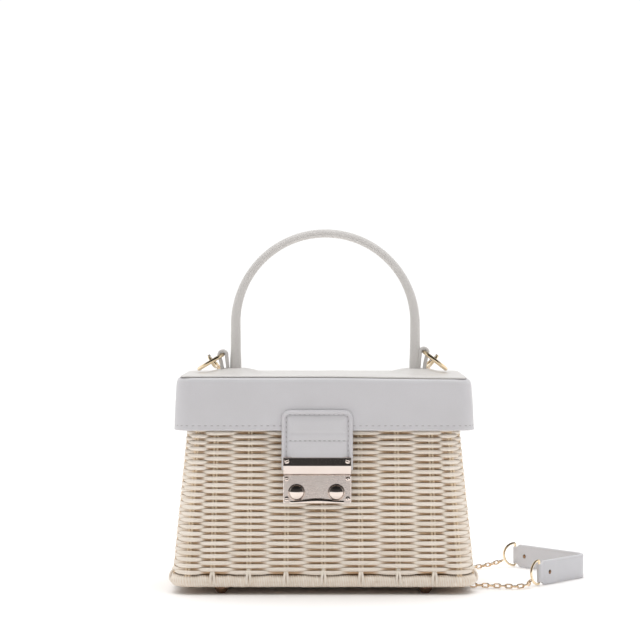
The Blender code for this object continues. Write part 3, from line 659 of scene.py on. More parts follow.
def plain_floor_look():
    look = Look("floor_white", roughness=0.6)
    look.colour(look.mix(look.noise(2.0), (0.975, 0.96, 0.95), (0.985, 0.97, 0.96)))
    return look.material


# The last colour of each reed look is the tint of its painted shade in the weave's recesses.
REED = reed_look("woven_reed_cream", (0.91, 0.835, 0.745), (0.85, 0.77, 0.675), (0.80, 0.60, 0.42))
# Stake reed: browner than the weavers, partly its own colour and partly painted shade for the recess the
# stakes stand in.
SHADED_STAKE_REED = reed_look("stake_reed_painted_shade", (0.88, 0.76, 0.60), (0.78, 0.64, 0.46), (0.88, 0.72, 0.54))
LEATHER = leather_look("lid_leather", (0.615, 0.605, 0.625), (0.59, 0.58, 0.597))
TOP_LEATHER = leather_look("pale_leather", (0.63, 0.61, 0.59), (0.60, 0.58, 0.56))
HANDLE_LEATHER = leather_look("handle_leather_grain", (0.63, 0.61, 0.59), (0.60, 0.58, 0.56),
                              pebble=900.0, depth=0.008)
STRAP_LEATHER = leather_look("strap_leather", (0.60, 0.60, 0.625), (0.575, 0.57, 0.595))
# Thread colour darkened as painted shade for the holes and dips the stitches sink into.
SHADED_THREAD = thread_look("grey_thread_painted_shade", (0.42, 0.40, 0.40), (0.26, 0.25, 0.25))
GOLD = metal_look("pale_gold_plate", (0.93, 0.78, 0.55), (0.88, 0.70, 0.46), 0.13)
SOFT_GOLD = metal_look("champagne_plate", (0.80, 0.71, 0.65), (0.77, 0.67, 0.61), 0.09, scratch=0.015)
BAR_GOLD = metal_look("champagne_bar", (0.73, 0.65, 0.60), (0.70, 0.615, 0.565), 0.10, scratch=0.015)
PLATE_GOLD = metal_look("champagne_brushed", (0.88, 0.79, 0.74), (0.85, 0.75, 0.70), 0.25, scratch=0.02)
HINGE_GOLD = metal_look("hinge_plate_gold", (0.74, 0.62, 0.44), (0.66, 0.53, 0.36), 0.28)
CHAIN_GOLD = metal_look("chain_gold", (0.90, 0.72, 0.50), (0.84, 0.62, 0.42), 0.2)
BRONZE = metal_look("dark_bronze", (0.30, 0.19, 0.12), (0.20, 0.12, 0.08), 0.25)
STEEL = metal_look("plain_steel", (0.62, 0.62, 0.64), (0.54, 0.54, 0.56), 0.3)
LINING = cloth_look("tan_lining_cloth", (0.46, 0.31, 0.18), (0.30, 0.19, 0.10), 9000.0)
BOARD = board_look("base_board_wood", (0.80, 0.64, 0.50), (0.66, 0.50, 0.38))
CARD = board_look("lid_card", (0.50, 0.44, 0.36), (0.40, 0.35, 0.28))


# ---------------------------------------------------------------- camera, floor and light

def add_camera():
    camera = bpy.data.cameras.new("camera")
    camera.lens = CAMERA_LENS
    camera.sensor_width = 36
    camera.clip_start = 0.05
    camera.clip_end = 50
    holder = bpy.data.objects.new("camera", camera)
    holder.location = CAMERA_PLACE
    holder.rotation_euler = (math.pi / 2 - CAMERA_DIP, 0, 0)
    bpy.context.scene.collection.objects.link(holder)
    bpy.context.scene.camera = holder


def add_floor():
    mesh = bpy.data.meshes.new("floor")
    reach = FLOOR_REACH
    mesh.from_pydata([(-reach, -reach, 0), (reach, -reach, 0), (reach, reach, 0), (-reach, reach, 0)], [],
                     [(0, 1, 2, 3)])
    floor = bpy.data.objects.new("floor", mesh)
    mesh.materials.append(plain_floor_look())
    bpy.context.scene.collection.objects.link(floor)


def add_studio_sky():
    """A white studio, a little dimmer in front of the object, where glossy metal mirrors a dark wall."""
    world = bpy.data.worlds.new("studio")
    bpy.context.scene.world = world
    world.use_nodes = True
    tree = world.node_tree
    links = tree.links

    def ranged(value, low, high, start, end):
        node = tree.nodes.new("ShaderNodeMapRange")
        node.interpolation_type = "SMOOTHSTEP"
        for key, number in (("From Min", low), ("From Max", high), ("To Min", start), ("To Max", end)):
            node.inputs[key].default_value = number
        links.new(value, node.inputs["Value"])
        return node.outputs[0]

    def combined(kind, *values):
        node = tree.nodes.new("ShaderNodeMath")
        node.operation = kind
        for socket, value in zip(node.inputs, values):
            links.new(value, socket)
        return node.outputs[0]

    def size(value):
        return combined("ABSOLUTE", value)

    def product(first, second):
        return combined("MULTIPLY", first, second)

    def chosen(switch, first, second):
        """The first value, or the second where the switch is on; plain white stands for no second."""
        node = tree.nodes.new("ShaderNodeMix")
        node.data_type = "RGBA"
        links.new(switch, node.inputs[0])
        links.new(first, node.inputs[6])
        if second is None:
            node.inputs[7].default_value = (BACKDROP_WHITE, BACKDROP_WHITE, BACKDROP_WHITE, 1)
        else:
            links.new(second, node.inputs[7])
        return node.outputs[2]

    place = tree.nodes.new("ShaderNodeTexCoord")
    split = tree.nodes.new("ShaderNodeSeparateXYZ")
    links.new(place.outputs["Generated"], split.inputs[0])
    soft = product(ranged(split.outputs["Y"], -0.90, 0.0, SKY_FRONT_LEVEL, SKY_LEVEL),
                   ranged(size(split.outputs["X"]), 0.35, 0.95, 1.0, SKY_SIDE_SHARE))
    soft = product(soft, ranged(split.outputs["Z"], 0.30, 0.90, 1.0, SKY_TOP_SHARE))
    gloss = product(ranged(split.outputs["Y"], -0.30, -0.10, DIM_WALL_LEVEL, GLOSS_SKY_LEVEL),
                    ranged(split.outputs["Z"], 0.40, 0.70, 1.0, DIM_CEILING_SHARE))
    ray = tree.nodes.new("ShaderNodeLightPath")
    level = chosen(ray.outputs["Is Glossy Ray"], soft, gloss)
    level = chosen(ray.outputs["Is Camera Ray"], level, None)
    links.new(level, tree.nodes["Background"].inputs["Color"])


def add_softbox():
    light = bpy.data.lights.new("overhead_softbox", "AREA")
    light.shape = "RECTANGLE"
    light.size, light.size_y = SOFTBOX_SIZE
    light.energy = SOFTBOX_POWER
    holder = bpy.data.objects.new("overhead_softbox", light)
    holder.location = SOFTBOX_PLACE
    holder.rotation_euler = (Vector(SOFTBOX_AIM) - Vector(SOFTBOX_PLACE)).to_track_quat("-Z", "Y").to_euler()
    holder.visible_glossy = False
    bpy.context.scene.collection.objects.link(holder)


add_camera()
add_floor()
add_studio_sky()
add_softbox()
bpy.context.scene.view_settings.view_transform = "Standard"


# ---------------------------------------------------------------- strap

def link_outline(length, width, inset, steps=7):
    """Middle line of an oval link in its own plane."""
    half = width / 2 - inset
    straight = length / 2 - inset - half
    points = []
    for sign in (1, -1):
        for step in range(steps):
            angle = -sign * math.pi / 2 + math.pi * step / (steps - 1)
            points.append((sign * straight + half * math.cos(angle), half * math.sin(angle)))
    return points


def add_links(pile, path, up_hint):
    """Oval links along a path, each rolled a quarter turn from the one before."""
    lengths = distances_along(path)
    count = round(lengths[-1] / LINK_PITCH)
    outline = link_outline(LINK_LENGTH, LINK_WIDTH, LINK_INSET)
    ahead_all = path_directions(path)
    side = unit(np.cross(ahead_all[0], up_hint))
    for number in range(count):
        distance = lengths[-1] * (number + 0.5) / count
        place = sampled(distance, lengths, path)
        ahead = unit(sampled(distance, lengths, ahead_all))
        side = unit(side - ahead * np.dot(side, ahead))
        other = np.cross(ahead, side)
        roll = math.radians(45 if number % 2 else -45) + chance.uniform(-0.12, 0.12)
        flat = side * math.cos(roll) + other * math.sin(roll)
        normal = np.cross(ahead, flat)
        curve = np.array([place + ahead * u + flat * v for u, v in outline])
        pile.grid(sweep(curve, normal, round_profile(LINK_WIRE, 7), closed=True), loop=True)


def make_chain(side):
    route = smooth_route(CHAIN_ROUTES[side], 0.0016)
    pile = Pile()
    add_links(pile, route, (1, 0, 0) if side == "right" else (1, 0, 0.01))
    chain = pile.build(f"chain_links_{side}", CHAIN_GOLD, None, [f"chain_{side}"])
    return chain, route


def band_frame(side, middle):
    """End of the band, the way into it, and the way its ring points."""
    end, inner = (middle[0], middle[1]) if side == "right" else (middle[-1], middle[-2])
    ring_way = unit((*STRAP_RING_DIRECTIONS[side], 0))
    return end, unit(inner - end), ring_way


def make_band_end(side, middle):
    """D ring and rivet at one end of the band; the ring's straight side runs through the band's fold."""
    end, inward, ring_way = band_frame(side, middle)
    half_length, half_height = STRAP_RING_SIZE
    reach = BAND_THICKNESS / 2 + STRAP_RING_WIRE + 2 * half_length
    bar = end - inward * STRAP_BAR_AHEAD
    far = end + ring_way * reach
    middle_height = UP * STRAP_RING_HEIGHT
    outline = []
    for step in range(41):
        angle = math.pi * (step / 40) - math.pi / 2
        outline.append(bar + (far - bar) * (0.08 + 0.92 * math.cos(angle)) + middle_height
                       + UP * half_height * math.sin(angle))
    corner = half_height - 0.0008
    for height in np.linspace(corner, -corner, 9):
        outline.append(bar + middle_height + UP * height)
    pile = Pile()
    pile.grid(sweep(outline, np.cross(UP, unit(far - bar)), round_profile(STRAP_RING_WIRE, 12), closed=True),
              loop=True)
    ring = pile.build(f"strap_end_ring_{side}", GOLD, "basket", [f"strap_ring_{side}"])
    across = np.cross(inward, UP)
    face = BAND_THICKNESS / 2
    spool = [(0.0002, -face - 0.0009), (0.0009, -face - 0.0008), (0.0016, -face - 0.0004), (0.0018, -face),
             (0.0008, -face), (0.0008, face), (0.0018, face), (0.0016, face + 0.0004),
             (0.0009, face + 0.0008), (0.0002, face + 0.0009)]
    rivet_pile = Pile()
    turned(rivet_pile, spool, end + inward * RIVET_FROM_END + UP * (BAND_LIFT + BAND_HEIGHT / 2), across, 24)
    rivet = rivet_pile.build(f"strap_stud_{side}", BRONZE, "basket", [f"strap_rivet_{side}"])
    return ring, rivet


def make_band():
    """Leather band on its edge, its ends folded back on themselves round the rings."""
    middle = smooth_route(BAND_ROUTE, 0.0016)
    reach = STRAP_BAR_AHEAD + STRAP_FOLD_RADIUS
    steps = np.array((1.0, 0.96, 0.88, 0.75, 0.55, 0.3))[:, None] * reach
    first_way = unit(middle[0] - middle[1])
    last_way = unit(middle[-1] - middle[-2])
    middle = np.concatenate([middle[0] + first_way * steps, middle, middle[-1] + last_way * steps[::-1]])
    lengths = distances_along(middle)
    half_high = BAND_HEIGHT / 2
    profiles = []
    for distance in lengths:
        from_end = min(distance, lengths[-1] - distance)
        folded = 1.0 + 0.18 * (1 - fade(from_end, 0.020, 0.0235))
        thick = BAND_THICKNESS / 2 * folded
        round_end = math.sqrt(max(0.0, 1 - (1 - min(from_end / STRAP_FOLD_RADIUS, 1.0)) ** 2))
        thick += (STRAP_FOLD_RADIUS - thick) * bump(from_end, STRAP_FOLD_RADIUS, 0.0035)
        thick *= max(round_end, 0.12)
        high = half_high - 0.0022 * (1 - fade(from_end, 0.0045, 0.0075))
        profiles.append(soft_box_profile(high, thick, min(thick * 0.85, 0.0009), 4))
    profiles = np.array(profiles)
    path = middle + UP * (BAND_LIFT + half_high)
    ahead = path_directions(path)
    side = np.cross(UP, ahead)
    points = path[:, None] + UP * profiles[..., :1] + side[:, None] * profiles[..., 1:2]
    pile = Pile()
    pile.grid(points)
    band = pile.build("strap_leather_band", STRAP_LEATHER, "basket", ["strap_band"])
    stitches = Pile()
    for rise in (0.0016, BAND_HEIGHT - 0.0016):
        for sign in (-1, 1):
            line = path + UP * (rise - half_high) + side * sign * (BAND_THICKNESS / 2 - 0.0001)
            add_stitches(stitches, line[12:-12], side[12:-12] * sign, pitch=0.0034, length=0.0024,
                         radius=0.00016)
    thread = stitches.build("strap_stitches", SHADED_THREAD, "basket")


def add_stitches(pile, line, out, pitch, length, radius):
    """Thread stitches along a line, each a short bead that dips at both ends."""
    line = np.asarray(line, dtype=float)
    out = np.broadcast_to(np.asarray(out, dtype=float), line.shape)
    lengths = distances_along(line)
    count = max(1, int(lengths[-1] / pitch))
    shares = np.array((0.0, 0.12, 0.35, 0.65, 0.88, 1.0))
    sizes = np.array((0.35, 0.85, 1.0, 1.0, 0.85, 0.35)) * radius
    for number in range(count):
        start = (lengths[-1] - count * pitch) / 2 + number * pitch + (pitch - length) / 2
        distances = start + shares * length
        places = sampled(distances, lengths, line)
        outward = unit(sampled(distances, lengths, out))
        dip = np.array((-1.0, -0.4, 0.25, 0.25, -0.4, -1.0)) * radius
        places = places + outward * dip[:, None]
        profile = round_profile(1.0, 6)[None] * sizes[:, None, None]
        pile.grid(sweep(places, outward, profile), tone=chance.random())


def make_strap():
    middle = smooth_route(BAND_ROUTE, 0.004)
    rings = {}
    rivets = {}
    for side in ("right", "left"):
        rings[side], rivets[side] = make_band_end(side, middle)
    for side in ("right", "left"):
        chain, route = make_chain(side)
        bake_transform(chain)
    make_band()


make_strap()


# ---------------------------------------------------------------- basket

def stake_distances(ring, z):
    """Where the paired stakes stand on a ring, in order from the front middle."""
    share = (z - SIDE_LEVEL) / (WALL_TOP - SIDE_LEVEL)
    quarter = [ring.front_distance(low + (high - low) * share) for low, high in FRONT_STAKES]
    side = [ring.side_distance(low + (high - low) * share) for low, high in SIDE_STAKES]
    quarter += side[::-1]
    half = quarter + [2 * ring.quarter - d for d in quarter[::-1]]
    return half + [4 * ring.quarter - d for d in half[::-1] if 0 < d < 2 * ring.quarter]


def make_weave():
    """Weavers, each passing outside one stake and inside the next, every other row the other way."""
    pile = Pile()
    sides = 8
    angles = full_turn(sides)
    steps = 12
    for row in range(ROW_COUNT):
        z = ROW_START + ROW_PITCH * row
        ring = wall_ring(z, WALL_MIDDLE)
        stops = stake_distances(ring, z)
        count = len(stops)
        stops.append(ring.length)
        path = []
        outward = []
        swing = []
        calmness = []
        travelled = []
        wobble = chance.uniform(-0.00012, 0.00012)
        jitter = [chance.uniform(0.9, 1.1) for _ in range(count)]
        jitter.append(jitter[0])
        drift = [chance.uniform(-0.00022, 0.00022) for _ in range(count)]
        drift.append(drift[0])
        for column in range(count):
            for step in range(steps):
                share = step / steps
                distance = stops[column] + (stops[column + 1] - stops[column]) * share
                x, y, out_x, out_y = ring.at(distance)
                wave = math.tanh(2 * math.cos(math.pi * share)) / math.tanh(2) * (-1) ** (column + row)
                size = jitter[column] + (jitter[column + 1] - jitter[column]) * share
                along = ring.quarter_distance(distance)
                calm = (fade(along, ring.flat_x, ring.flat_x + 0.5 * ring.arc)
                        * (1 - fade(along, ring.flat_x + ring.arc + 0.008, ring.flat_x + ring.arc + 0.018)))
                offset = WEAVE_SWING * wave * size * (1 - 0.62 * calm)
                lift = drift[column] + (drift[column + 1] - drift[column]) * share + wobble
                path.append((x + out_x * offset, y + out_y * offset, z + lift))
                outward.append((out_x, out_y, 0.0))
                swing.append(wave)
                calmness.append(calm)
                travelled.append(distance)
        path = np.array(path)
        swing = np.array(swing)
        calmness = np.array(calmness)
        outward = np.array(outward)
        height = 0.00122 + 0.00033 * np.clip(swing, 0, 1) ** 0.8
        width = np.full_like(height, 0.00095)
        radius = 1 + 0.05 * grain(path, 0.01, row)
        normal = outward[:, None] * (width * radius)[:, None, None] * np.cos(angles)[None, :, None]
        upward = UP * (height * radius)[:, None, None] * np.sin(angles)[None, :, None]
        # Painted shade: darkens the weaver where it passes behind a stake, less near the corners where the
        # rows lie flatter.
        depth = (fade(-swing, 0.1, 0.95) * (1 - 0.75 * calmness))[:, None] * np.ones(sides)
        pile.grid(path[:, None] + normal + upward, loop=True, tone=chance.random() ** 1.6, depth=depth,
                  along=(np.array(travelled) + row * 0.7)[:, None], around=np.abs(np.linspace(-1, 1, sides)))
    pile.build("weavers", REED, "basket", ["wicker_body"])


def make_stakes():
    """Twin stakes up the wall, from the border to the rim."""
    pile = Pile()
    step = 0.004
    heights = np.arange(0.0105, 0.1506, step)
    rings = [(z, wall_ring(z, WALL_MIDDLE)) for z in heights]
    columns = len(stake_distances(rings[0][1], heights[0]))
    for column in range(columns):
        for twin in (-1, 1):
            path = []
            for z, ring in rings:
                distance = stake_distances(ring, z)[column] + twin * 0.0011
                x, y, _, _ = ring.at(distance)
                path.append((x, y, z))
            out_x, out_y = ring.at(distance)[2:]
            # Each stake carries a steady painted shade (depth 0.35) for the recess it stands in.
            pile.grid(sweep(path, (out_x, out_y, 0.0), round_profile(STAKE_RADIUS, 8)),
                      tone=chance.random(), depth=0.35, around=np.abs(np.linspace(-1, 1, 8)),
                      along=np.arange(len(path))[:, None] * step + column)
    pile.build("stakes", SHADED_STAKE_REED, "basket")


def wrapped_hoop(name, height, radius, inset, pitch, replaced, slant):
    """A hoop wrapped in thin reed: ridges that wind round it."""
    ring = wall_ring(height, 0.0)
    ring = RoundedRing(ring.half_x - inset, ring.half_y - inset, WALL_CORNER - inset)
    count = round(ring.length / pitch)
    steps = count * 6
    sides = 18
    places = np.array([ring.at(ring.length * step / steps) for step in range(steps)])
    turns = np.arange(steps) / 6
    angles = full_turn(sides)
    phase = turns[:, None] + slant * angles[None] / (2 * math.pi) * 2
    ridge = np.sqrt(np.abs(np.sin(math.pi * phase)))
    uneven = np.array([chance.uniform(-1, 1) for _ in range(count)])
    number = np.floor(phase).astype(int) % count
    size = radius - 0.00042 + 0.00042 * ridge + 0.00012 * uneven[number]
    path = np.column_stack([places[:, 0], places[:, 1], np.full(steps, height)])
    outward = np.column_stack([places[:, 2], places[:, 3], np.zeros(steps)])
    points = (path[:, None] + outward[:, None] * (size * np.cos(angles))[..., None]
              + UP * (size * np.sin(angles))[..., None])
    tones = np.array([chance.random() for _ in range(count)])[number]
    pile = Pile()
    # Painted shade: the reed colour darkens in the grooves between the wound strands.
    pile.grid(points, loop=True, tone=tones, depth=np.clip(0.75 - ridge, 0, 1),
              along=angles * radius * 2 + number * 0.37, around=phase % 1)
    pile.build(name, REED, "basket", replaced)


def make_border_crossings():
    """Stakes that come out of the wall and turn down over the border."""
    pile = Pile()
    ring = wall_ring(BORDER_HEIGHT, 0.0)
    columns = [centre for centre in stake_distances(ring, BORDER_HEIGHT)
               if min(abs(ring.at(centre)[2]), abs(ring.at(centre)[3])) < 0.15]
    for centre in columns:
        for strand in (-1, 1):
            distance = centre + strand * 0.0013
            bend = [(-0.0030, 0.0190), (-0.0022, 0.0168), (-0.0004, 0.0148), (0.0004, 0.0130),
                    (0.0006, 0.0112), (0.0002, 0.0092), (-0.0008, 0.0076)]
            spread = [0.0, 0.1, 0.5, 0.9, 1.0, 1.05, 1.1]
            path = []
            for (out, z), share in zip(bend, spread):
                x, y, out_x, out_y = ring.at(centre + (distance - centre) * (0.4 + 0.6 * share))
                path.append((x + out_x * out, y + out_y * out, z))
            path = smooth_route(path, 0.0012)
            sizes = np.interp(np.linspace(0, 1, len(path)), (0, 0.8, 1), (1, 1, 0.75))
            side = np.array((-out_y, out_x, 0.0))
            grid = sweep(path, np.cross(side, path_directions(path)), round_profile(0.00095, 8)[None]
                         * sizes[:, None, None])
            pile.grid(grid, tone=chance.random() * 0.5, around=np.abs(np.linspace(-1, 1, 8)),
                      along=np.arange(len(path))[:, None] * 0.0012 + centre * 9)
    pile.build("border_crossings", REED, "basket")


def make_lining():
    """Thin cloth inside the wall, gently rippled, its top edge glued up behind the rim hoop."""
    pile = Pile()
    rows = []
    for layer, way in ((0.0052, 1), (0.0060, -1)):
        heights = np.linspace(LINING_LOW, LINING_HIGH, 36)[::way]
        for z in heights:
            ring = wall_ring(z, layer - LINING_HEM_SHIFT * fade(z, LINING_HIGH - 0.008, LINING_HIGH))
            places = ring.samples(160)
            points = np.column_stack([places[:, 0], places[:, 1], np.full(160, z)])
            ripple = 0.00035 * grain(points, 0.018, 5.0) - 0.0002
            points[:, :2] += places[:, 2:4] * ripple[:, None]
            rows.append(points)
    pile.grid(np.array(rows), loop=True)
    pile.build("lining_cloth", LINING, "basket", ["lining"])


def make_feet():
    for name, (x, y) in {"front_left": (-0.074, -0.050), "front_right": (0.074, -0.050),
                         "rear_left": (-0.074, 0.050), "rear_right": (0.074, 0.050)}.items():
        pile = Pile()
        profile = [(0.0016, 0.0), (0.0024, 0.0001), (0.0029, 0.0004), (0.0038, 0.0016), (0.0046, 0.0028),
                   (0.0051, 0.0037), (0.0053, 0.0043), (0.0053, 0.0049), (0.0050, 0.0053)]
        turned(pile, profile, (x, y, 0), (0, 0, 1), 40)
        pile.build(f"stud_{name}", BRONZE, "basket", [f"foot_{name}"])


make_weave()
make_stakes()
wrapped_hoop("border_wrap", BORDER_HEIGHT, BORDER_RADIUS, BORDER_INSET, STRAND_PITCH, ["base_border"], 1.0)
wrapped_hoop("rim_wrap", RIM_HEIGHT, RIM_RADIUS, RIM_RADIUS, STRAND_PITCH * 1.4, ["rim_hoop"], 2.0)
make_border_crossings()
make_lining()
make_feet()


# ---------------------------------------------------------------- lid

def make_skirt():
    """Leather skirt: rolled lower edge, stitch groove, light padding and a round shoulder."""
    bottom = SKIRT_BOTTOM
    profile = []  # inset from the outside, height
    for step in range(9):
        angle = math.pi / 2 * step / 8
        profile.append((0.0012 - 0.0012 * math.sin(angle), bottom + 0.0012 - 0.0012 * math.cos(angle)))
    shoulder = SKIRT_TOP - SKIRT_SHOULDER
    levels = np.linspace(bottom + 0.0016, shoulder, 34)
    for height in levels:
        groove = 0.00026 * bump(height, bottom + STITCH_RISE, 0.0008)
        padding = 0.00045 * math.sin(math.pi * (height - bottom) / (SKIRT_TOP - bottom)) ** 0.5
        profile.append((0.00035 + groove - padding, height))
    for step in range(1, 13):
        angle = math.pi / 2 * step / 12
        profile.append((0.0003 + (SKIRT_SHOULDER - 0.0003) * (1 - math.cos(angle)),
                        shoulder + SKIRT_SHOULDER * math.sin(angle)))
    profile += [(0.0034, SKIRT_TOP), (0.0035, 0.1560), (0.0035, 0.1400), (0.0035, 0.1260),
                (0.0035, bottom + 0.0006), (0.0030, bottom + 0.0001), (0.0020, bottom)]
    count = 320
    rows = []
    for inset, z in profile:
        half_x, half_y = skirt_half_sizes(z)
        places = RoundedRing(half_x - inset, half_y - inset, SKIRT_CORNER - inset).samples(count)
        fullness = (0.0011 - 0.0005 * (z - bottom) / (SKIRT_TOP - bottom)) * fade(places[:, 0], 0.02, 0.10)
        sag = lid_sag(places[:, 0], places[:, 1]) * fade(z, 0.128, SKIRT_TOP)
        rows.append(np.column_stack([places[:, 0] + fullness, places[:, 1], z - sag]))
    rows = np.array(rows)
    wrinkle = grain(rows, 0.022, 3.0) * 0.00016 + grain(rows, 0.006, 8.0) * 0.00004
    outward = unit(np.concatenate([rows[..., :2], np.zeros_like(rows[..., :1])], axis=-1))
    weight = np.array([1.0 if inset < 0.003 else 0.0 for inset, _ in profile])
    rows += outward * (wrinkle * weight[:, None])[..., None]
    pile = Pile()
    pile.grid(rows, loop=True)
    pile.build("skirt_leather", LEATHER, "lid", ["lid_skirt"])
    level = 9 + int(np.argmin(np.abs(levels - bottom - STITCH_RISE)))
    line = rows[level]
    line = np.concatenate([line, line[:1]])
    out = np.concatenate([outward[level], outward[level][:1]])
    stitches = Pile()
    add_stitches(stitches, line, out, pitch=0.0045, length=0.0023, radius=0.00024)
    stitches.build("skirt_stitches", SHADED_THREAD, "lid")


def squircle(u, v):
    """Moves the corner squares of a square grid on to quarter discs."""
    return u * np.sqrt(1 - v * v / 2), v * np.sqrt(1 - u * u / 2)


def make_lid_top():
    """Padded leather top: rolled edge, soft mounds round the handle's feet."""
    columns, rows = 210, 120
    flat_x = LID_TOP_HALF_WIDTH - LID_TOP_CORNER
    flat_y = LID_TOP_HALF_DEPTH - LID_TOP_CORNER

    def spaced(flat, count):
        corner_steps = 14
        corner = flat + LID_TOP_CORNER * np.linspace(0, 1, corner_steps + 1)[1:]
        inner = np.linspace(-flat, flat, count - 2 * corner_steps)
        return np.concatenate([-corner[::-1], inner, corner])

    grid_x, grid_y = np.meshgrid(spaced(flat_x, columns), spaced(flat_y, rows))
    over_x = np.clip((np.abs(grid_x) - flat_x) / LID_TOP_CORNER, 0, 1)
    over_y = np.clip((np.abs(grid_y) - flat_y) / LID_TOP_CORNER, 0, 1)
    round_x, round_y = squircle(over_x, over_y)
    x = np.where(over_x > 0, np.sign(grid_x) * (flat_x + LID_TOP_CORNER * round_x), grid_x)
    y = np.where(over_y > 0, np.sign(grid_y) * (flat_y + LID_TOP_CORNER * round_y), grid_y)
    corner_gap = LID_TOP_CORNER * (1 - np.hypot(round_x, round_y))
    edge = np.where((over_x > 0) & (over_y > 0), corner_gap,
                    np.minimum(LID_TOP_HALF_WIDTH - np.abs(x), LID_TOP_HALF_DEPTH - np.abs(y)))
    edge = np.clip(edge, 0, None)
    roll = LID_TOP_ROLL
    drop = roll - np.sqrt(np.clip(roll ** 2 - np.clip(roll - edge, 0, roll) ** 2, 0, None))
    swell = mound(x, y)
    foot = np.hypot(np.abs(x - HANDLE_SHIFT) - HANDLE_HALF_SPAN, y)
    place = np.stack([x, y, np.zeros_like(x)], axis=-1)
    inside = fade(edge, 0.001, 0.008)
    soft = grain(place * (1, 1.4, 1), 0.017, 2.0) * 0.00028 + grain(place, 0.006, 4.0) * 0.00008
    turn = np.arctan2(y, np.abs(x - HANDLE_SHIFT) - HANDLE_HALF_SPAN)
    pull = 0.00022 * np.sin(turn * 7 + 1.3) * bump(foot, 0.016, 0.012)
    tuck = -0.0007 * bump(foot, 0.0045, 0.0022)
    padding = 0.0005 * fade(edge, 0.0, 0.012)
    z = LID_TOP - 0.0003 - drop + swell + inside * (soft + pull) + tuck + padding * 0.6
    top = np.stack([x, y, z], axis=-1)
    under = np.stack([x, y, np.full_like(x, LID_TOP_BOTTOM)], axis=-1)
    boundary_low = z <= LID_TOP_BOTTOM
    top[..., 2] = np.where(boundary_low, LID_TOP_BOTTOM, z)
    for layer in (top, under):
        layer[..., 2] -= lid_sag(x, y)
    pile = Pile()
    pile.grid(top, ring=False)
    pile.grid(under, ring=False)
    for line_top, line_under in ((top[0], under[0]), (top[-1], under[-1]), (top[:, 0], under[:, 0]),
                                 (top[:, -1], under[:, -1])):
        pile.grid(np.stack([line_top, line_under]), ring=False)
    pile.build("lid_top_leather", TOP_LEATHER, "lid", ["lid_top_cover"], weld=True)


def make_lid_liner():
    low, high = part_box("lid_liner")
    pile = Pile()
    rows = []
    half_x, half_y = (high.x - low.x) / 2, (high.y - low.y) / 2
    for inset, z in ((0.0004, high.z), (0.0, (low.z + high.z) / 2), (0.0004, low.z)):
        places = RoundedRing(half_x - inset, half_y - inset, 0.004).samples(96)
        rows.append(np.column_stack([places[:, 0], places[:, 1], np.full(96, z)]))
    pile.grid(np.array(rows))
    pile.build("lid_lining_cloth", LINING, "lid", ["lid_liner"], smooth=False)


def handle_line(count):
    """Points along the handle's middle, the way each one faces, and its height angle on the arch."""
    leg = HANDLE_SPRING_HEIGHT - HANDLE_FOOT
    arch = math.pi * HANDLE_HALF_SPAN
    places = []
    ways = []
    turns = []
    for distance in np.linspace(0, 2 * leg + arch, count):
        turn = min(max((distance - leg) / HANDLE_HALF_SPAN, 0.0), math.pi)
        rise = min(distance, leg, 2 * leg + arch - distance)
        places.append((HANDLE_SHIFT - HANDLE_HALF_SPAN * math.cos(turn), 0.0,
                       HANDLE_FOOT + rise + HANDLE_HALF_SPAN * math.sin(turn)))
        ways.append((math.sin(turn), 0.0, math.cos(turn)))
        turns.append(math.sin(turn))
    return np.array(places), np.array(ways), np.array(turns)


def make_handle():
    """Rolled leather handle with the fold of its seam along the front."""
    path, ahead, lifted = handle_line(320)
    from_end = path[:, 2] - HANDLE_FOOT
    sides = 72
    angles = full_turn(sides)
    thickness = HANDLE_RADIUS[0] + (HANDLE_RADIUS[1] - HANDLE_RADIUS[0]) * fade(from_end, 0.015, 0.085)
    flare = 0.0004 * bump(from_end, 0.008, 0.014)
    gap = (angles[None] - HANDLE_SEAM_ANGLE + math.pi) % (2 * math.pi) - math.pi
    shown = fade(lifted, 0.45, 0.8)[:, None]
    fold = 0.00042 * np.exp(-(gap / 0.16) ** 2) * (0.12 + 0.88 * shown)
    lip = 0.00016 * np.exp(-((gap - 0.42) / 0.22) ** 2) * shown
    radius = (thickness + flare)[:, None] - fold + lip
    back = np.array((0.0, 1.0, 0.0))
    inner = np.cross(ahead, back)
    points = (path[:, None] + back * (radius * np.sin(angles))[..., None]
              + inner[:, None] * (radius * np.cos(angles))[..., None])
    pile = Pile()
    pile.grid(points)
    pile.build("handle_leather", HANDLE_LEATHER, "lid", ["handle_cover"])
    cord = Pile()
    strand = 0.0020 + 0.00025 * np.cos(3 * angles[None] + np.arange(len(path))[:, None] * 0.9)
    cord.grid(path[2:-2, None] + back * (strand[2:-2] * np.sin(angles))[..., None]
              + inner[2:-2, None] * (strand[2:-2] * np.cos(angles))[..., None])
    cord.build("handle_inner_cord", LINING, "lid", ["handle_core"])


def ring_frame(side):
    sign = -1 if side == "left" else 1
    lean = RING_LEAN[side]
    outward = np.array((sign * math.cos(lean), 0, -math.sin(lean)))
    upward = np.array((sign * math.sin(lean), 0, math.cos(lean)))
    pivot = np.array((sign * RING_PIVOT_X, 0, RING_LOW_POINT + 2 * RING_RADIUS * math.sin(lean)))
    return pivot, outward, upward


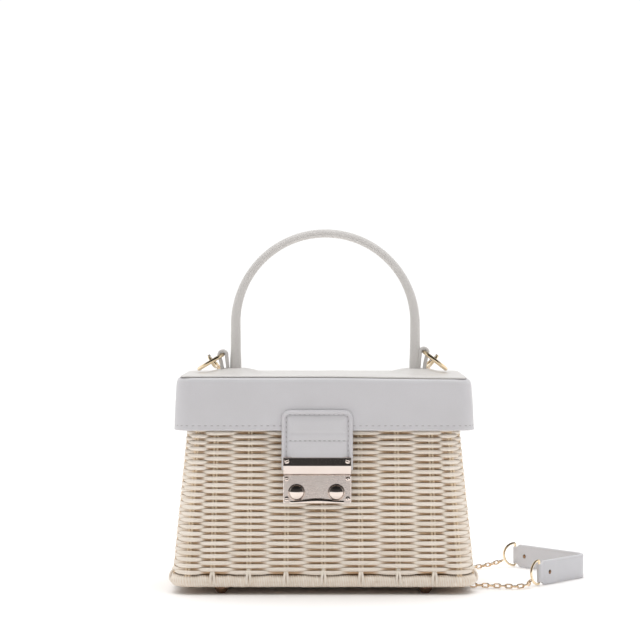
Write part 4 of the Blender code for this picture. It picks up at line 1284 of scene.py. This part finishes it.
def make_ring_and_loop(side):
    pivot, outward, upward = ring_frame(side)
    along = np.array((0.0, 1.0, 0.0))
    centre = pivot + outward * RING_RADIUS
    angles = full_turn(96)
    circle = centre + RING_RADIUS * (np.cos(angles)[:, None] * outward + np.sin(angles)[:, None] * along)
    pile = Pile()
    pile.grid(sweep(circle, upward, round_profile(RING_WIRE, 16), closed=True), loop=True)
    pile.build(f"gold_ring_{side}", GOLD, f"ring_{side}", [f"ring_{side}"])

    sign = -1 if side == "left" else 1
    half_thick = 0.0012
    reach = RING_WIRE + half_thick + 0.00015
    foot = LID_TOP + MOUND_HEIGHT
    inner_foot = np.array((sign * 0.0712, 0, foot - 0.0026))
    outer_foot = np.array((sign * 0.0752, 0, foot - 0.0034))
    route = [inner_foot, inner_foot * 0.45 + (pivot + (-sign * reach, 0, -0.001)) * 0.55]
    for step in range(9):
        turn = math.pi - math.pi * 1.12 * step / 8
        route.append(pivot + np.array((sign * reach * math.cos(turn), 0, reach * math.sin(turn))))
    route.append(pivot * 0.5 + outer_foot * 0.5 + (sign * 0.0011, 0, 0))
    route.append(outer_foot)
    path = smooth_route(route, 0.0006)
    profile = soft_box_profile(0.0039, half_thick, 0.0009, 5)
    shares = np.linspace(0, 1, len(path))
    waist = 1 - 0.10 * bump(shares, 0.5, 0.3)
    scaled = np.stack([profile[:, 0][None] * waist[:, None],
                       np.broadcast_to(profile[:, 1], (len(path), len(profile)))], axis=-1)
    ahead = path_directions(path)
    face = np.cross(ahead, along)
    points = path[:, None] + along * scaled[..., :1] + face[:, None] * scaled[..., 1:2]
    loop = Pile()
    loop.grid(points)
    loop.build(f"leather_loop_{side}", TOP_LEATHER, "lid", [f"ring_loop_{side}"])


def hook_frame(side):
    pivot, outward, upward = ring_frame(side)
    origin = pivot + outward * RING_RADIUS + np.array((0, RING_RADIUS, 0))
    droop = math.asin((origin[2] - EYE_HEIGHT) / (EYE_REACH * upward[2]))
    back = np.array((0.0, 1.0, 0.0))
    along = back * math.cos(droop) - upward * math.sin(droop)
    up = upward * math.cos(droop) + back * math.sin(droop)
    return origin, along, up


def make_hook(side):
    """Trigger snap hook: round bow, barrel with beads, cheeks, sprung gate and swivel eye."""
    origin, along, up = hook_frame(side)
    across = np.cross(along, up)

    def at(length, height, sideways=0.0):
        return origin + along * length + up * height + across * sideways

    def flat_part(pile, outline, middle, layers):
        """A part cut to an outline of (length, height), its rim rounded by layers of (depth, scale)."""
        u, v = middle
        pile.grid(np.array([[at(u + (length - u) * scale, v + (height - v) * scale, depth)
                             for length, height in outline] for depth, scale in layers]))

    route = [at(HOOK_BOW + 0.0003, HOOK_BOW)]
    for step in range(17):
        angle = math.pi / 2 + math.pi * step / 16
        route.append(at(HOOK_BOW * math.cos(angle), HOOK_BOW * math.sin(angle)))
    route += [at(0.005, -HOOK_BOW), at(0.009, -HOOK_BOW), at(0.0125, -0.0027), at(0.015, -0.0009),
              at(HOOK_BARREL[0] + 0.0008, 0)]
    path = smooth_route(route, 0.0005)
    sizes = HOOK_WIRE * np.interp(np.linspace(0, 1, len(path)), (0, 0.03, 0.5, 1), (0.6, 0.95, 1.0, 1.05))
    pile = Pile()
    pile.grid(sweep(path, across, round_profile(1.0, 16)[None] * sizes[:, None, None]))
    start, end = HOOK_BARREL
    radius = HOOK_BARREL_RADIUS
    barrel = [(0.0012, start - 0.0006), (radius - 0.0005, start - 0.0003), (radius, start + 0.0004),
              (radius, start + 0.0012), (radius - 0.0004, start + 0.0016), (radius - 0.0004, start + 0.0020),
              (radius, start + 0.0024), (radius, end - 0.0012), (radius - 0.0004, end - 0.0008),
              (radius - 0.0002, end - 0.0002), (radius - 0.0008, end), (EYE_WIRE + 0.0003, end)]
    turned(pile, barrel, origin, along, 32)
    for sign in (-1, 1):
        cheek = [(0.0126, -0.0002), (0.0150, -0.0012), (0.0172, -0.0012), (0.0174, 0.0), (0.0172, 0.0012),
                 (0.0156, 0.0034), (0.0146, 0.0039), (0.0134, 0.0034)]
        flat_part(pile, cheek, (0.0150, 0.0010), ((sign * 0.00120, 0.94), (sign * 0.0013, 1.0),
                                                  (sign * 0.00178, 1.0), (sign * 0.0019, 0.92)))
    pile.build(f"snap_hook_{side}", GOLD, f"hook_{side}", [f"hook_{side}"])

    gate = [(0.0043, 0.0029), (0.0100, 0.0021), (0.0148, 0.0015), (0.0153, 0.0023), (0.0147, 0.0031),
            (0.0120, 0.0036), (0.0098, 0.0041), (0.0090, 0.0052), (0.0084, 0.0066), (0.0077, 0.0069),
            (0.0070, 0.0068), (0.0067, 0.0056), (0.0067, 0.0044), (0.0055, 0.0044), (0.0043, 0.0042)]
    gate_pile = Pile()
    flat_part(gate_pile, gate, (0.0095, 0.0036), ((-0.0010, 0.86), (-0.0008, 1.0), (0.0008, 1.0),
                                                  (0.0010, 0.86)))
    gate_pile.build(f"trigger_{side}", BRONZE, f"gate_{side}", [f"gate_{side}"])

    angles = full_turn(48)
    circle = np.array([at(EYE_REACH + EYE_RADIUS * math.cos(a), EYE_RADIUS * math.sin(a)) for a in angles])
    eye_pile = Pile()
    eye_pile.grid(sweep(circle, across, round_profile(EYE_WIRE, 12), closed=True), loop=True)
    shank_end = EYE_REACH - EYE_RADIUS
    stem = [(EYE_WIRE, start + 0.0018), (EYE_WIRE, shank_end - 0.0010), (EYE_WIRE * 1.6, shank_end - 0.0004),
            (EYE_WIRE * 1.2, shank_end + 0.0004)]
    turned(eye_pile, stem, origin, along, 20)
    eye_pile.build(f"swivel_eye_{side}", GOLD, f"swivel_{side}", [f"hook_eye_{side}"])


make_skirt()
make_lid_top()
make_lid_liner()
make_handle()
for side_name in ("left", "right"):
    make_ring_and_loop(side_name)
    make_hook(side_name)


# ---------------------------------------------------------------- lock and clasp

def tab_outline_width(z):
    """Half width of the tab at a height: straight, with round upper corners."""
    over = z - (TAB_TOP - TAB_CORNER)
    if over <= 0:
        return TAB_HALF_WIDTH
    return TAB_HALF_WIDTH - TAB_CORNER + math.sqrt(max(TAB_CORNER ** 2 - over ** 2, 0.0))


def tab_back(z):
    """How far back the tab's rear face lies at a height."""
    if z > FLAP_AXIS[1]:
        return -skirt_half_sizes(z)[1] - 0.0003 - 0.0002
    return -0.0625 - 0.0005 * (FLAP_AXIS[1] - z) / (FLAP_AXIS[1] - TAB_BOTTOM)


def make_tab():
    """Leather tab: thick rolled edge, a stitched line inside it, padded middle, one line across."""
    columns = 72
    corner = TAB_CORNER
    heights = np.concatenate([np.linspace(TAB_BOTTOM, TAB_TOP - corner, 70),
                              TAB_TOP - corner + corner * np.sin(np.linspace(0, math.pi / 2, 22))[1:]])
    front = []
    rear = []
    for z in heights:
        half = max(tab_outline_width(z), TAB_HALF_WIDTH - corner)
        across = np.sin(np.linspace(-1, 1, columns) * math.pi / 2) * 0.35 + np.linspace(-1, 1, columns) * 0.65
        x = across * half
        side_gap = half - np.abs(x)
        if z > TAB_TOP - corner:
            centre_x = TAB_HALF_WIDTH - corner
            reach = np.hypot(np.clip(np.abs(x) - centre_x, 0, None), z - (TAB_TOP - corner))
            edge = corner - reach
        else:
            edge = np.minimum(side_gap, TAB_TOP - z)
        edge = np.clip(edge, 0, None)
        bead = 0.0024 * np.sqrt(np.clip(1 - ((edge - 0.0015) / 0.0015) ** 2, 0, 1)) * (edge < 0.0015)
        shoulder = np.where(edge >= 0.0015, 0.0013 + 0.0011 * bump(edge, 0.0015, 0.0018), 0.0)
        groove = -0.00085 * bump(edge, 0.0035, 0.0011)
        padding = 0.00115 * fade(edge, 0.0036, 0.0088)
        line = -0.00055 * bump(z, TAB_LINE, 0.0010) * fade(edge, 0.003, 0.005)
        hollow = -0.0004 * bump(z, 0.1172, 0.0022) * fade(edge, 0.003, 0.008)
        thick = np.maximum(bead, shoulder) + groove + padding + line + hollow + 0.0003
        back = tab_back(z)
        front.append(np.column_stack([CLASP_X + x, back - thick, np.full(columns, z)]))
        rear.append(np.column_stack([CLASP_X + x, np.full(columns, back), np.full(columns, z)]))
    front = np.array(front)
    rear = np.array(rear)
    front[..., 1] -= grain(front, 0.010, 6.0) * 0.00008
    pile = Pile()
    pile.grid(front, ring=False)
    pile.grid(rear, ring=False)
    for first, second in ((front[0], rear[0]), (front[-1], rear[-1]), (front[:, 0], rear[:, 0]),
                          (front[:, -1], rear[:, -1])):
        pile.grid(np.stack([first, second]), ring=False)
    tab = pile.build("clasp_leather_tab", LEATHER, None,
                     ["clasp_tab_upper", "clasp_tab_lower"], weld=True)

    def front_y(x, z):
        row = int(np.argmin(np.abs(heights - z)))
        return float(np.interp(x, front[row][:, 0], front[row][:, 1]))

    inset = TAB_STITCH_INSET
    line = [(-TAB_HALF_WIDTH + inset, 0.1010), (-TAB_HALF_WIDTH + inset, TAB_TOP - corner)]
    for step in range(1, 7):
        angle = math.pi - math.pi / 2 * step / 6
        line.append((-TAB_HALF_WIDTH + corner + (corner - inset) * math.cos(angle),
                     TAB_TOP - corner + (corner - inset) * math.sin(angle)))
    line += [(-x, z) for x, z in line[::-1]]
    line = np.array(line)
    lengths = distances_along(line)
    dense = sampled(np.arange(0, lengths[-1], 0.0008), lengths, line)
    stitched = [(CLASP_X + x, front_y(CLASP_X + x, z) + 0.0001, z) for x, z in dense]
    stitches = Pile()
    add_stitches(stitches, stitched, (0, -1, 0), pitch=0.0035, length=0.0023, radius=0.00024)
    across = [(CLASP_X + x, front_y(CLASP_X + x, TAB_LINE) + 0.0001, TAB_LINE)
              for x in np.linspace(-TAB_HALF_WIDTH + inset + 0.001, TAB_HALF_WIDTH - inset - 0.001, 50)]
    add_stitches(stitches, across, (0, -1, 0), pitch=0.0035, length=0.0024, radius=0.00036)
    thread = stitches.build("clasp_tab_stitches", SHADED_THREAD, None)
    for piece in (tab, thread):
        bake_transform(piece)


def slotted_screw(pile, centre, radius, height, turn, facing=-1):
    """Round-headed screw with a slot across its head; it faces the front at -1 and the back at 1."""
    x, y, z = centre
    rings = []
    sides = 48
    angles = full_turn(sides)
    for share in (1.0, 1.0, 0.97, 0.9, 0.78, 0.62, 0.45, 0.28, 0.12, 0.02):
        rise = height * math.sqrt(max(1 - share * share * 0.92, 0.0)) if rings else 0.0
        ring = np.stack([share * radius * np.cos(angles), share * radius * np.sin(angles)], axis=-1)
        cut = np.abs(ring @ np.array((math.sin(turn), math.cos(turn)))) < radius * 0.17
        depth = np.where(cut & (len(rings) > 1), height * 0.45, 0.0)
        rings.append(np.column_stack([x - facing * ring[:, 0], y + facing * (rise - depth),
                                      z + ring[:, 1]]))
    pile.grid(np.array(rings))


def make_bar():
    """Bar at the tab's end: thin top bevel, flat face, wide lower bevel."""
    outline = [(-0.0649, BAR_HIGH), (-0.0663, BAR_HIGH - 0.0009), (-0.0670, 0.0936), (-0.06695, 0.0933),
               (-0.0657, 0.0881), (-0.0655, 0.0877), (-0.0652, BAR_LOW), (-0.0632, BAR_LOW),
               (-0.0629, 0.0877), (-0.0629, 0.0925), (-0.0649, 0.0925)]
    pile = Pile()
    rows = []
    for x, shrink in ((-PLATE_HALF_WIDTH, 0.0004), (-PLATE_HALF_WIDTH + 0.0002, 0.0001),
                      (-PLATE_HALF_WIDTH + 0.0006, 0.0), (PLATE_HALF_WIDTH - 0.0006, 0.0),
                      (PLATE_HALF_WIDTH - 0.0002, 0.0001), (PLATE_HALF_WIDTH, 0.0004)):
        rows.append([(CLASP_X + x, y + shrink if y < -0.0655 else y, z) for y, z in outline])
    pile.grid(np.array(rows))
    bar = pile.build("clasp_bar_plate", BAR_GOLD, "clasp_flap", ["clasp_bar"], smooth=False)
    soften(bar)
    for place, sign in (("left", -1), ("right", 1)):
        screw = Pile()
        slotted_screw(screw, (CLASP_X + sign * SCREW_X, -0.0664, 0.0970), 0.0019, 0.0010, 0.3 * sign)
        screw.build(f"bar_screw_{place}", SOFT_GOLD, "clasp_flap", [f"clasp_screw_{place}"])


def soften(piece):
    """Small bevel on the sharp edges of a metal piece."""
    bevel = piece.modifiers.new("edge", "BEVEL")
    bevel.width = METAL_EDGE
    bevel.segments = 2
    bevel.limit_method = "ANGLE"
    bevel.angle_limit = math.radians(25)


def plate_lean(z):
    """How far back the lock plate leans with the wall at a height."""
    return (z - (PLATE_LOW + PLATE_HIGH) / 2) * PLATE_LEAN


def make_face_plate():
    """Lock plate, leaning back with the wall, with two holes for the buttons."""
    middle_z = (PLATE_LOW + PLATE_HIGH) / 2
    half_height = (PLATE_HIGH - PLATE_LOW) / 2
    builder = bmesh.new()

    def add_ring(points, front):
        return [builder.verts.new((x, PLATE_FRONT + front + plate_lean(z), z)) for x, z in points]

    outline = []
    for inset, front in ((0.0006, 0.0), (0.0, 0.0005), (0.0, 0.0012)):
        box = soft_box_profile(PLATE_HALF_WIDTH - inset, half_height - inset, 0.0013 - inset * 0.5, 5)
        outline.append(add_ring([(CLASP_X + u, middle_z + v) for u, v in box], front))
    holes = []
    for sign in (-1, 1):
        rows = []
        for front, extra in ((0.0, 0.0006), (0.0005, 0.0), (0.0012, 0.0)):
            radius = BUTTON_RADIUS + 0.00035 + extra
            turns = [-2 * math.pi * step / 40 for step in range(40)]
            rows.append(add_ring([(BUTTON_MIDDLE_X + sign * BUTTON_X + radius * math.cos(turn),
                                   BUTTON_Z + radius * math.sin(turn)) for turn in turns], front))
        holes.append(rows)
    for face in (0, -1):
        edges = []
        for ring in [outline[face]] + [rows[face] for rows in holes]:
            edges += [builder.edges.new((ring[i], ring[(i + 1) % len(ring)])) for i in range(len(ring))]
        bmesh.ops.triangle_fill(builder, use_beauty=True, edges=edges)
    for rows in [outline] + holes:
        for first, second in zip(rows, rows[1:]):
            for i in range(len(first)):
                j = (i + 1) % len(first)
                builder.faces.new((first[i], first[j], second[j], second[i]))
    bmesh.ops.recalc_face_normals(builder, faces=builder.faces)
    mesh = bpy.data.meshes.new("lock_face_plate")
    builder.to_mesh(mesh)
    builder.free()
    place_piece("lock_face_plate", mesh, PLATE_GOLD, "basket", ["lock_plate"])


def make_plate_lip():
    """Raised lip along the plate's lower edge, highest in its middle."""
    rows = []
    for share in np.linspace(-1, 1, 61):
        x = CLASP_X + PLATE_LIP_HALF_WIDTH * share
        high = 0.0683 + 0.0019 * math.cos(math.pi / 2 * share) ** 2
        proud = 0.0013 * max(1 - share ** 4, 0.08)
        middle = (PLATE_LOW + high) / 2
        row = []
        for step in range(17):
            turn = math.pi * step / 16
            z = middle + (high - PLATE_LOW) / 2 * math.cos(turn)
            row.append((x, PLATE_FRONT - 0.0001 + plate_lean(z) - proud * math.sin(turn), z))
        row.append((x, PLATE_FRONT + 0.0004 + plate_lean(middle), middle))
        rows.append(row)
    lip = Pile()
    lip.grid(np.array(rows))
    lip.build("plate_lip", SOFT_GOLD, "basket")


def make_plate_screws(place, sign):
    for level, z in (("low", 0.0697), ("high", 0.0840)):
        screw = Pile()
        centre = (CLASP_X + sign * SCREW_X, PLATE_FRONT + 0.0001 + plate_lean(z), z)
        slotted_screw(screw, centre, 0.0018, 0.0009, 0.5 + sign * z * 9)
        screw.build(f"plate_screw_{level}_{place}", SOFT_GOLD, "basket",
                    [f"lock_screw_{level}_{place}"])


def make_button(place, sign):
    """Domed button, hollow behind, and the coil spring that it presses."""
    x = BUTTON_MIDDLE_X + sign * BUTTON_X
    sphere = (BUTTON_RADIUS ** 2 + BUTTON_DOME ** 2) / (2 * BUTTON_DOME)
    widest = math.asin(BUTTON_RADIUS / sphere)
    profile = [(0.0, BUTTON_HOLLOW), (0.0049, BUTTON_HOLLOW), (0.0049, 0.0050), (0.0057, 0.0050),
               (0.0057, 0.0044), (BUTTON_RADIUS, 0.0044), (BUTTON_RADIUS, 0.0023)]
    for step in range(13):
        angle = widest * (1 - step / 12)
        profile.append((sphere * math.sin(angle), sphere * (1 - math.cos(angle))))
    button = Pile()
    turned(button, profile, (x, -0.0668, BUTTON_Z), (0, 1, 0), 64)
    button.build(f"dome_{place}", SOFT_GOLD, f"button_{place}", [f"button_{place}"])
    coil = []
    for step in range(81):
        angle = 4 * math.pi * step / 80
        coil.append((x + SPRING_RADIUS * math.cos(angle), SPRING_FRONT + SPRING_LENGTH * step / 80,
                     BUTTON_Z + SPRING_RADIUS * math.sin(angle)))
    spring = Pile()
    spring.grid(sweep(coil, (0, 1, 0), round_profile(SPRING_WIRE, 10)))
    spring.build(f"coil_spring_{place}", STEEL, "basket", [f"button_spring_{place}"])


def make_hinge_screws():
    """Two slotted screws in each leaf of the back hinges."""
    leaves = (("upper", "lid", UPPER_LEAF_BACK, 0.1262), ("lower", "basket", LOWER_LEAF_BACK, 0.1040))
    for side, sign in (("left", -1), ("right", 1)):
        for leaf, body, y, z in leaves:
            pile = Pile()
            for shift, turn in ((-HINGE_SCREW_X, 0.4), (HINGE_SCREW_X, 1.3)):
                slotted_screw(pile, (sign * HINGE_X + shift, y, z), 0.0019, 0.0009, turn, facing=1)
            pile.build(f"hinge_screws_{leaf}_{side}", GOLD, body)


make_tab()
make_bar()
make_face_plate()
make_plate_lip()
for side_name, side_sign in (("left", -1), ("right", 1)):
    make_plate_screws(side_name, side_sign)
    make_button(side_name, side_sign)
make_hinge_screws()


# ---------------------------------------------------------------- kept CAD pieces

KEPT = (
    (BOARD, ("base_board",)),
    (CARD, ("lid_top_board",)),
    (HINGE_GOLD, ("hinge_lower_left", "hinge_lower_right", "hinge_upper_left", "hinge_upper_right")),
    (STEEL, ("handle_plate_left", "handle_plate_right", "hinge_pin_left", "hinge_pin_right", "lock_case",
             "lock_back_plate", "clasp_back_plate")),
)
for kept_look, node_names in KEPT:
    for node_name in node_names:
        for material_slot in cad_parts[node_name].material_slots:
            material_slot.material = kept_look
